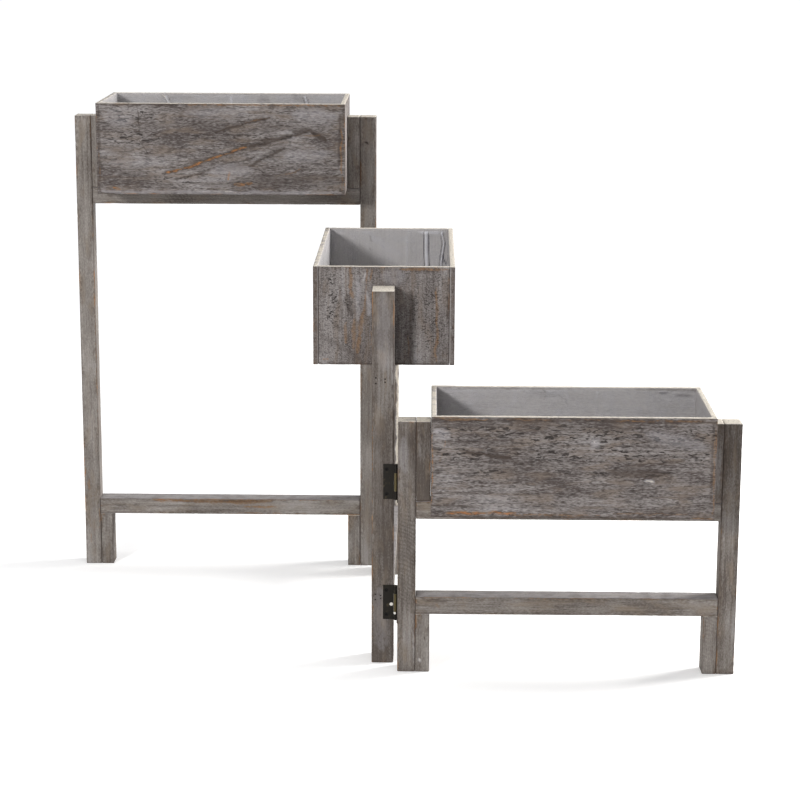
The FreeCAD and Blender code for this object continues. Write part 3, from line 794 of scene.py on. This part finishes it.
def dress_board(mesh, node, low, high, seed):
    """Work out a board's attributes from its final shape."""
    points = values_of(mesh, "co")
    along, across, through = grain_axes(node, high - low)
    rng = random.Random(node)
    depth = depth_in(points, low, high)
    marks = drawn_marks(low, high, along, rng)
    if node in CHOSEN:
        marks = [mark for mark in marks if abs(mark[1][1] - low.y) > 2 * MM]
        marks += front_marks(low, high, CHOSEN[node])
    amounts = stroke_amounts(points, marks, rng.uniform(0, 90))
    top = smoothstep(high.z - 0.9 * MM, high.z - 0.35 * MM, points[:, 2])
    inside, crazed = np.zeros(len(points)), amounts[:, 3]
    if node not in CHOSEN:
        crazed = 0.6 * smoothstep(0.15, 0.5, noise_at(points, np.full(3, 0.11), seed + 5))
    elif "_box_" in node:
        crazed = np.maximum(crazed, 0.50)
    boxed = "_box_" in node
    if boxed:
        centre = sum(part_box(node.split("_")[0] + "_box_bottom"), Vector()) / 2
        side = math.copysign(1, (centre - (low + high) / 2)[through])
        thick = (high - low)[through]
        inner = (points[:, through] - (low[through] + high[through]) / 2) * side
        inside = smoothstep(0.30 * thick, 0.42 * thick, inner)
        if node not in CHOSEN:
            crazed = smoothstep(-0.3, 0.3, noise_at(points, (0.09, 0.09, 0.05), seed + 11))
        crazed = crazed * (1 - inside)
        amounts[:, 0:2] *= (1 - 0.55 * inside)[:, None]
    broken = smoothstep(-0.5, 0.2, noise_at(points, (0.014, 0.014, 0.02), seed + 23))
    rim = RAIL_RIM if "_rail" in node else LEFT_RIM if "_left" in node else RIM
    # Top faces are painted cream: partly thick wash, partly a painted highlight of the light from above.
    amounts[:, 2] = np.maximum(amounts[:, 2], top * (rim - 0.16 + 0.16 * broken))
    # Points deeper than the ease, in brad pits and the deepest chips, are marked fully dark: painted
    # shade in these hollows.
    amounts[depth[:, 0] > EASE, 0] = 1.0
    ends = smoothstep(1.0 * MM, 0.2 * MM, np.minimum(points[:, along] - low[along],
                                                     high[along] - points[:, along]))
    shift = np.array([rng.uniform(0, 4000) for _ in range(3)])
    set_attribute(mesh, "grain", points[:, [along, across, through]] / MM + shift)
    wide, tall = CELL_END if "box_end" in node else CELL_LONG if boxed else CELL_FRAME
    first = max((0, 1), key=lambda axis: (high - low)[axis]) if boxed else along
    second, third = [axis for axis in (2, 1, 0) if axis != first]
    cells = points[:, [first, second, third]] / np.array([wide, tall, tall]) / MM
    set_attribute(mesh, "craze", cells + shift / 9)
    set_attribute(mesh, "edge", np.where(depth[:, 0] > EASE, 5.0, depth[:, 1] / MM))
    set_attribute(mesh, "stain_and_painted_light", amounts[:, :3])
    set_attribute(mesh, "zone", np.stack([inside, crazed, ends * (1 - top)], axis=1))
    tone = BOARD_TONES_AND_SHADE.get(node, rng.uniform(-0.08, 0.08))
    set_attribute(mesh, "tone", np.full(len(points), tone))


print("tops are cream by", RAIL_RIM, "to", RIM)

# %% [markdown]
# The brads' places come from the frame's own brads: the points furthest out on each post's outer
# face, gathered into one centre per brad.

# %% Brad places
BRAD_SUNK = 1.7 * MM    # a head lies no deeper than this


def outer_side(node):
    """Which way a post's outer face looks, along the length of its frame."""
    low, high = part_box(node)
    rail_low, rail_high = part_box(node.split("_")[0] + "_lower_rail")
    away = (low + high) / 2 - (rail_low + rail_high) / 2
    axis = 0 if abs(away.x) > abs(away.y) else 1
    return axis, arrow(axis, math.copysign(1, away[axis]))


def gathered(points, reach):
    """Points sorted into groups, each within reach of its first point."""
    groups = []
    for point in points:
        for group in groups:
            if (group[0] - point).length < reach:
                group.append(point)
                break
        else:
            groups.append([point])
    return groups


def brad_centres(node):
    """Where brads enter a post's outer face."""
    axis, out = outer_side(node)
    low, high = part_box(node)
    face_at = (high if out[axis] > 0 else low)[axis]
    tops = []
    for vert in frame["nodes"][node.split("_")[0] + "_brads"].data.vertices:
        if abs(vert.co[axis] - face_at) <= BRAD_SUNK:
            tops.append(vert.co + arrow(axis, face_at - vert.co[axis]))
    return [sum(group, Vector()) / len(group) for group in gathered(tops, 2.5 * MM)], out


print("brads in a post:", len(brad_centres("low_post_left")[0]))

# %% [markdown]
# Now every board of the stand is made, shaped, worn and dressed. The outer boards that carry
# chosen marks get the finest grid, and a box's hidden bottom the coarsest.

# %% Boards


def new_piece(name, mesh, material, body, smooth=True):
    """Link a finished mesh as a piece that rides on a body."""
    mesh.name = name
    mesh.materials.append(material)
    if smooth:
        mesh.shade_smooth()
    piece = bpy.data.objects.new(name, mesh)
    scene.collection.objects.link(piece)
    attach(piece, body)
    return piece


SPACER_SWELL = 0.4 * MM    # the spacers close up to the box they hold
FRONT_BOX_CELL, FRONT_FRAME_CELL, PLAIN_CELL, HIDDEN_CELL = 1.4 * MM, 1.7 * MM, 3.0 * MM, 6.0 * MM


def make_board(node):
    """The finished piece that stands for one board of the frame."""
    low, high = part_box(node)
    if "_spacer_" in node:
        axis, out = outer_side(node)
        (low if out[axis] > 0 else high)[axis] -= SPACER_SWELL * out[axis]
    boxed = "_box_" in node
    cell = PLAIN_CELL
    if node in CHOSEN:
        cell = FRONT_BOX_CELL if boxed else FRONT_FRAME_CELL
    if "box_bottom" in node:
        cell = HIDDEN_CELL
    pits, outward = brad_centres(node) if "_post_" in node else ((), None)
    mesh = board_mesh(low, high, cell, pits, outward)
    seed = random.Random(node + " shape").uniform(0, 100)
    wear(mesh, low, high, grain_axes(node, high - low)[0], seed)
    dress_board(mesh, node, low, high, seed)
    piece = new_piece(node + "_wood", mesh, BOX_WOOD if boxed else FRAME_WOOD, BODY_OF[node])
    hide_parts(node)
    return piece


WOOD_WORDS = ("_post_", "_foot_", "_spacer_", "_rail", "_box_")
boards = [make_board(node) for node in sorted(BODY_OF)
          if any(word in node for word in WOOD_WORDS)]
print(len(boards), "boards,", sum(len(piece.data.polygons) for piece in boards), "faces")

# %% [markdown]
# The hinges are plain butt hinges of steel with a dark lacquer. The frame's leaves already have
# the right knuckles and countersinks, so each piece is a merged copy of one, with its corners
# bevelled by a few tenths so that they catch the light. The long middle knuckle has lost most of
# its lacquer to handling and shows dull brass colour; an attribute marks the part that turns
# around the pin.

# %% Metal finishes


def lacquered_steel(name, lacquer, worn_metal, handled):
    """Dark lacquer over steel, thin on edges and on the knuckles that turn."""
    material, put = new_material(name)
    place = put("TexCoord", out="Object")
    grit = put("TexNoise", named={"Vector": place, "Scale": 1 / (0.9 * MM), "Detail": 3.0})
    cloud = put("TexNoise", named={"Vector": place, "Scale": 1 / (7.0 * MM), "Detail": 3.0})
    roll = put("Attribute", attribute_name="roll", out="Fac")
    painted_glint = put("Attribute", attribute_name="painted_glint", out="Fac")
    handling = put("MapRange", roll, 0.2, 0.8, 0.0, handled, **SMOOTH)
    rubbed = put("MapRange", cloud, 0.56, 0.72, 0.0, 0.5, **SMOOTH)
    rubbed = put("Math", rubbed, handling, **LARGER)
    rubbed = put("Math", rubbed, put("MapRange", grit, 0.30, 0.62, 0.55, 1.0, **SMOOTH), **TIMES)
    pitted = put("MapRange", grit, 0.58, 0.74, 0.0, 0.35, **SMOOTH)
    # Pale matte spots from this attribute are painted glints.
    glinted = put("MapRange", painted_glint, 0.35, 0.55, **SMOOTH)
    colour = linear(lacquer)
    for amount, upper in ((rubbed, worn_metal), (pitted, "#171513"), (glinted, "#dcd8d0")):
        colour = put("Mix", named={0: amount, 6: colour, 7: linear(upper)}, **LAYER)
    bump = put("Bump", named={"Strength": 0.5, "Distance": 0.1 * MM, "Height": grit})
    rough = put("MapRange", rubbed, 0.0, 1.0, 0.48, 0.34)
    metal = put("MapRange", painted_glint, 0.35, 0.55, 0.75, 0.0, **SMOOTH)
    surface = put("BsdfPrincipled", named={
        "Base Color": colour, "Roughness": rough, "Metallic": metal, "Normal": bump})
    put("OutputMaterial", surface, out=None)
    return material


LEAF_STEEL = lacquered_steel("dark_lacquered_steel", "#26231f", "#544b38", 0.0)
KNUCKLE_STEEL = lacquered_steel("rubbed_lacquered_steel", "#26231f", "#655a3c", 1.0)
SCREW_STEEL = lacquered_steel("blackened_screw_steel", "#1b1917", "#45403a", 0.0)
PIN_STEEL = lacquered_steel("drawn_pin_steel", "#3a352d", "#7b6f55", 0.4)
BRAD_STEEL = lacquered_steel("dull_brad_steel", "#2b2724", "#5d5852", 0.2)
print("metals:", LEAF_STEEL.name, KNUCKLE_STEEL.name, SCREW_STEEL.name)

# %% [markdown]
# What turns around a pin is found by its distance from the joint's axis. One leaf has two
# painted glints, pale spots that stand for highlights, so it is cut into a fine grid for them.

# %% Hinge leaves
JOINTS = {joint["name"]: Vector(joint["pos_m"]) for joint in RECORD["behaviour"]["joints"]}
KNUCKLE_REACH = 3.0 * MM
LEAF_BEVEL = 0.16 * MM
# Painted glints on a leaf, pale spots that stand for highlights: mm along it, mm up it and radius.
PAINTED_GLINTS = {"low_lower_hinge_fixed_leaf": ((12.0, 22.5, 3.2), (17.0, 10.5, 2.4))}


def hinge_leaf(node):
    """A bevelled copy of a leaf, with what turns around the pin marked."""
    pin = JOINTS[node.split("_")[0] + "_fold"]
    bm = bmesh.new()
    bm.from_mesh(frame["nodes"][node].data)
    bmesh.ops.remove_doubles(bm, verts=bm.verts, dist=1e-6)
    sharp = [edge for edge in bm.edges if len(edge.link_faces) == 2
             and edge.calc_face_angle() > math.radians(50)
             and edge.calc_length() > 1.0 * MM]
    bmesh.ops.bevel(bm, geom=sharp, offset=LEAF_BEVEL, segments=2, profile=0.5,
                    affect="EDGES", clamp_overlap=True, material=-1)
    spots = PAINTED_GLINTS.get(node, ())
    for axis, reach in ((0, 22), (2, 51)) if spots else ():
        for step in range(1, reach):
            cut(bm, bm.faces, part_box(node)[0] + arrow(axis, step * MM), axis)
    mesh = mesh_of(bm, node)
    points = values_of(mesh, "co")
    reach = np.hypot(points[:, 0] - pin.x, points[:, 1] - pin.y)
    set_attribute(mesh, "roll", (reach < KNUCKLE_REACH).astype(float))
    painted_glint = np.zeros(len(points))
    for along, up, radius in spots:
        away = points - np.array(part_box(node)[0])
        away = np.hypot(away[:, 0] - along * MM, away[:, 2] - up * MM)
        painted_glint = np.maximum(painted_glint, smoothstep(radius * MM, 0.5 * radius * MM, away))
    set_attribute(mesh, "painted_glint", painted_glint)
    metal = KNUCKLE_STEEL if "moving" in node else LEAF_STEEL
    piece = new_piece(node + "_bevelled", mesh, metal, BODY_OF[node], smooth=False)
    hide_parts(node)
    return piece


leaves = [hinge_leaf(node) for node in sorted(BODY_OF) if node.endswith("_leaf")]
print(len(leaves), "hinge leaves,", len(leaves[0].data.polygons), "faces in one")

# %% [markdown]
# A countersunk screw is turned from a profile: a flat head, a cone, a thinner shank and a point.
# The cross in its head is cut with eight planes, and the faces inside the cross are pushed in
# and drawn together, as a punch does it.

# %% One screw
HEAD_RADIUS, SHANK_RADIUS, SCREW_LENGTH = 2.9 * MM, 1.3 * MM, 13.0 * MM
CROSS_ARM, CROSS_WIDTH, CROSS_DEPTH = 1.75 * MM, 0.36 * MM, 1.1 * MM
SCREW_APART = 15 * MM    # no two screws are closer than this


def screw_shape():
    """One screw, its head's face at the origin looking along +Z."""
    bm = bmesh.new()
    made = bmesh.ops.create_circle(bm, cap_ends=True, segments=32, radius=HEAD_RADIUS)
    face = made["verts"][0].link_faces[0]
    if face.normal.z < 0:
        bmesh.ops.reverse_faces(bm, faces=[face])
    rings = ((HEAD_RADIUS, 0.25), (SHANK_RADIUS, 1.6), (SHANK_RADIUS, 10.5),
             (0.15 * MM, SCREW_LENGTH / MM))
    edge_ring = list(bm.edges)
    for radius, depth in rings:
        made = bmesh.ops.extrude_edge_only(bm, edges=edge_ring)["geom"]
        edge_ring = [part for part in made if isinstance(part, bmesh.types.BMEdge)]
        for vert in {vert for edge in edge_ring for vert in edge.verts}:
            flat = vert.co.xy.normalized() * radius
            vert.co = Vector((flat.x, flat.y, -depth * MM))
    bmesh.ops.contextual_create(bm, geom=edge_ring)
    for axis in (0, 1):
        for reach in (-CROSS_ARM, -CROSS_WIDTH, CROSS_WIDTH, CROSS_ARM):
            top = [face for face in bm.faces if all(abs(v.co.z) < 1e-7 for v in face.verts)]
            cut(bm, top, arrow(axis, reach), axis)
    cross = []
    for face in bm.faces:
        x, y, z = (abs(value) for value in face.calc_center_median())
        if z < 1e-7 and min(x, y) < CROSS_WIDTH and max(x, y) < CROSS_ARM:
            cross.append(face)
    made = bmesh.ops.extrude_face_region(bm, geom=cross)["geom"]
    bmesh.ops.delete(bm, geom=cross, context="FACES")
    for vert in (part for part in made if isinstance(part, bmesh.types.BMVert)):
        vert.co = Vector((vert.co.x * 0.45, vert.co.y * 0.45, -CROSS_DEPTH))
    bmesh.ops.recalc_face_normals(bm, faces=bm.faces)
    return mesh_of(bm, "screw")


ONE_SCREW = screw_shape()
print("one screw:", len(ONE_SCREW.polygons), "faces")

# %% [markdown]
# The frame's own screws say where each one goes: their points are gathered screw by screw, and
# the wider end is the head.

# %% Screws in place


def screw_places(node):
    """Each screw's head centre and outward direction, from the frame's own screws."""
    places = []
    for group in gathered([vert.co for vert in frame["nodes"][node].data.vertices], SCREW_APART):
        points = np.array(group)
        low, high = points.min(0), points.max(0)
        middle = (low + high) / 2
        axis = int(np.argmax(high - low))
        wide = [np.ptp(points[np.abs(points[:, axis] - end) < 0.1 * MM], axis=0).max()
                for end in (low[axis], high[axis])]
        sign = -1 if wide[0] > wide[1] else 1
        middle[axis] = (low if sign < 0 else high)[axis]
        places.append((Vector(middle), arrow(axis, sign)))
    return places


def hinge_screws(node):
    """All of one frame's hinge screws in one piece, each cross at a turn of its own."""
    rng = random.Random(node)
    bm = bmesh.new()
    for centre, outward in screw_places(node):
        spin = Matrix.Rotation(rng.uniform(0, math.pi / 2), 4, "Z")
        upright = outward.to_track_quat("Z", "Y").to_matrix().to_4x4()
        start = len(bm.verts)
        bm.from_mesh(ONE_SCREW)
        bm.verts.ensure_lookup_table()
        bmesh.ops.transform(bm, matrix=Matrix.Translation(centre) @ upright @ spin,
                            verts=bm.verts[start:])
    piece = new_piece(node + "_cross_head", mesh_of(bm, node), SCREW_STEEL, BODY_OF[node],
                      smooth=False)
    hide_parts(node)
    return len(screw_places(node))


print("hinge screws:", [hinge_screws(tier + "_hinge_screws") for tier in TIERS])

# %% [markdown]
# The pins and brads are small turned parts, and the frame's own shapes already show them; they
# only need their finish.

# %% Pins and brads


def dress_node(node, material):
    """Give a frame node its finish and leave its shape alone."""
    mesh = frame["nodes"][node].data
    mesh.materials.clear()
    mesh.materials.append(material)


for ending, metal in (("_pin", PIN_STEEL), ("_brads", BRAD_STEEL)):
    kept = [node for node in BODY_OF if node.endswith(ending)]
    for node in kept:
        dress_node(node, metal)
    print(len(kept), "nodes of", metal.name)

# %% [markdown]
# A planter like this is lined with a tray of clear film, so that wet soil never touches the
# wood. Film is never flat: it stands off the wall in soft upright folds and its top edge wanders.
# Each fold is drawn as a pale band, partly milky crease and partly a painted highlight, with two
# darker outlines of painted shade, and the top edge is a pale line of painted highlight. The tray
# starts as an open box, its folds press inwards only, and solidify gives it a real thickness.

# %% Film finish


def clear_film(name):
    """Thin clear film: nearly invisible, with gloss; milky where it folds, with painted highlights on the
    folds and painted shade along their outlines.
    """
    material, put = new_material(name)
    fold = put("Attribute", attribute_name="fold", out="Fac")
    place = put("TexCoord", out="Object")
    ripple = put("TexNoise", named={"Vector": place, "Scale": 1 / (22 * MM), "Detail": 4.0,
                                    "Distortion": 1.2})
    lit = put("MapRange", fold, -0.35, 0.1, **SMOOTH)
    # Fold colour: pale is partly milky crease and partly painted highlight; dark is painted shade.
    colour = put("Mix", named={0: lit, 6: linear("#4f505f"), 7: linear("#dddde2")}, **LAYER)
    folded = put("Math", fold, operation="ABSOLUTE")
    folded = put("MapRange", folded, 0.12, 0.9, 0.0, 0.40, **SMOOTH)
    haze = put("MapRange", ripple, 0.35, 0.75, 0.04, 0.15, **SMOOTH)
    alpha = put("Math", haze, folded, operation="ADD")
    bump = put("Bump", named={"Strength": 0.35, "Distance": 1.0 * MM, "Height": ripple})
    surface = put("BsdfPrincipled", named={
        "Base Color": colour, "Roughness": 0.22, "IOR": 1.5, "Alpha": alpha, "Normal": bump})
    put("OutputMaterial", surface, out=None)
    return material


FILM = clear_film("clear_liner_film")
print("film finish:", FILM.name)

# %% [markdown]
# The folds are paths on each tray's back wall, which is the one that shows most.

# %% Folds in the film
FILM_RISE = 3.0 * MM     # the film was pulled up almost to the rim
FILM_THICK = 0.25 * MM
AT_WALL = 0.1 * MM       # a point this close to a wall belongs to it
# A positive strength draws a pale band, partly milky crease and partly painted highlight; a negative one
# a dark line of painted shade.
FOLDS = {  # half width in mm, strength, then the fold's path in shares of the back wall
    "tall": ((2.4, 0.7, (0.21, 1.0), (0.24, 0.80)), (3.0, 0.5, (0.50, 1.0), (0.52, 0.2)),
             (2.0, 0.8, (0.82, 1.0), (0.84, 0.85), (0.90, 0.80))),
    "middle": ((3.8, 0.34, (0.652, 0.95), (0.655, 0.2)), (3.0, 1.0, (0.817, 0.98), (0.822, 0.0)),
               (1.3, 0.9, (0.95, 0.98), (0.965, 0.85), (0.95, 0.68), (0.94, 0.5), (0.94, 0.0)),
               (1.5, 0.6, (0.66, 1.0), (0.80, 0.97), (0.95, 0.965)),
               (1.2, -0.8, (0.955, 0.70), (0.99, 0.60))),
    "low": ((3.0, 0.22, (0.30, 0.98), (0.33, 0.3)), (2.2, 0.20, (0.62, 0.98), (0.60, 0.3)),
            (1.6, -0.35, (0.86, 0.97), (1.0, 0.93))),
}


def fold_value(points, folds, low, size, seed):
    """How pale (positive) or dark (negative) the film is painted: pale bands, partly milky crease and
    partly painted highlight, with two thin outlines of painted shade.
    """
    drift = noise_at(points, 0.03, seed, noise.noise_vector)
    bent = (points + 1.6 * MM * drift)[:, [0, 2]]
    total = np.zeros(len(points))
    for half, strength, *path in folds:
        corners = [np.array((low.x + x * size.x, low.z + z * size.z)) for x, z in path]
        gap = np.full(len(points), 1.0)
        for start, end in zip(corners, corners[1:]):
            gap = np.minimum(gap, from_line(bent, start, end)[1])
        away = gap / (half * MM)
        band = np.exp(-3.0 * away ** 4)
        if strength > 0.6:
            band -= 0.9 * np.exp(-((away - 1.0) * half - 0.9) ** 2 / 0.35)
        total += strength * band
    return total


print("folds:", {tier: len(folds) for tier, folds in FOLDS.items()})

# %% [markdown]
# A tray is an open box, cut finely across so that its folds can be pushed into it.

# %% Film liners
TRAY_CELLS = (1.3 * MM, 8 * MM, 4 * MM)    # along, across and up


def film_tray(node, folds, seed):
    """An open tray of film inside a box, folded where it meets the back wall."""
    low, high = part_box(node)
    high.z += FILM_RISE
    size = high - low
    bm = block(low, high)
    bmesh.ops.delete(bm, geom=[face for face in bm.faces if face.normal.z > 0.9],
                     context="FACES")
    for axis, cell in enumerate(TRAY_CELLS):
        bmesh.ops.subdivide_edges(bm, edges=long_edges(bm, axis, 0.9 * size[axis]),
                                  cuts=round(size[axis] / cell) - 1, use_grid_fill=True)
    points = np.array([vert.co for vert in bm.verts])
    back = high.y - points[:, 1] < AT_WALL
    marks = fold_value(points, folds, low, size, seed) * back
    rise = smoothstep(0.0, 0.25, (points[:, 2] - low.z) / size.z)
    rumple = noise_at(points * (1, 1, 0.35), np.full(3, 0.03), seed)
    push = (0.35 + 0.6 * np.maximum(rumple, 0) + 1.5 * np.maximum(marks, 0)) * MM * rise
    for index, vert in enumerate(bm.verts):
        gaps = (vert.co.x - low.x, high.x - vert.co.x, vert.co.y - low.y, high.y - vert.co.y)
        for wall, inward in zip(gaps, ((1, 0, 0), (-1, 0, 0), (0, 1, 0), (0, -1, 0))):
            if wall < AT_WALL:
                vert.co += Vector(inward) * push[index]
        # The top edge is drawn pale: a painted highlight along the film's edge under the rim.
        if high.z - vert.co.z < AT_WALL:
            vert.co.z -= (0.9 + 1.2 * rumple[index]) * MM
            marks[index] = max(marks[index], 0.30)
    layer = bm.verts.layers.float.new("fold")
    for vert, value in zip(bm.verts, marks * rise):
        vert[layer] = value
    bmesh.ops.recalc_face_normals(bm, faces=bm.faces)
    bmesh.ops.solidify(bm, geom=bm.faces[:], thickness=FILM_THICK)
    piece = new_piece(node + "_film", mesh_of(bm, node), FILM, BODY_OF[node])
    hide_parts(node)
    return piece


films = [film_tray(tier + "_liner", FOLDS[tier], 5.0 + index)
         for index, tier in enumerate(TIERS)]
print("film liners:", [len(piece.data.polygons) for piece in films], "faces")

# %% [markdown]
# The set is a pale floor that runs far back. A soft key light from the front left makes the
# shadows, a panel on the right brightens everything that faces it, and a large light overhead
# and an even surround fill in. The floor glows a little to the lens alone, as a lit backdrop
# does, and so stays white without lighting the wood from below.

# %% Stage and light
ground = bmesh.new()
bmesh.ops.create_grid(ground, x_segments=1, y_segments=1, size=30.0)
floor_mesh = mesh_of(ground, "floor")
floor = bpy.data.objects.new("floor", floor_mesh)
scene.collection.objects.link(floor)
pale_floor, put = new_material("pale_matte_floor")
matte = put("BsdfDiffuse", linear("#f4f3f1"))
away = put("VectorMath", put("TexCoord", out="Object"), out="Value", operation="LENGTH")
glow = put("MapRange", away, 1.0, 4.5, 0.24, 0.68)
glow = put("Math", put("LightPath", out="Is Camera Ray"), glow, **TIMES)
put("OutputMaterial", put("AddShader", matte, put("Emission", linear("#ffffff"), glow)), out=None)
floor_mesh.materials.append(pale_floor)

world = bpy.data.worlds.new("studio")
world.use_nodes = True
scene.world = world
surround = world.node_tree.nodes["Background"]
surround.inputs["Color"].default_value = linear("#f7f9ff")
surround.inputs["Strength"].default_value = 0.40


def area_light(name, place, target, size, power):
    """A round soft light that looks at a point."""
    data = bpy.data.lights.new(name, "AREA")
    data.shape = "DISK"
    data.size = size
    data.energy = power
    light = bpy.data.objects.new(name, data)
    light.location = place
    light.rotation_mode = "QUATERNION"
    light.rotation_quaternion = (Vector(target) - Vector(place)).to_track_quat("-Z", "Y")
    scene.collection.objects.link(light)


area_light("key", (-2.0, -3.3, 1.75), (0, 0, 0.4), 0.55, 95.0)
area_light("side", (2.6, 0.75, 1.25), (0, 0.1, 0.5), 1.2, 125.0)
area_light("overhead", (0.1, -0.2, 3.2), (0, 0, 0), 1.8, 34.0)
scene.view_settings.view_transform = "Standard"
print("stage and lights set")

# %% Finish
print("the scene is set")
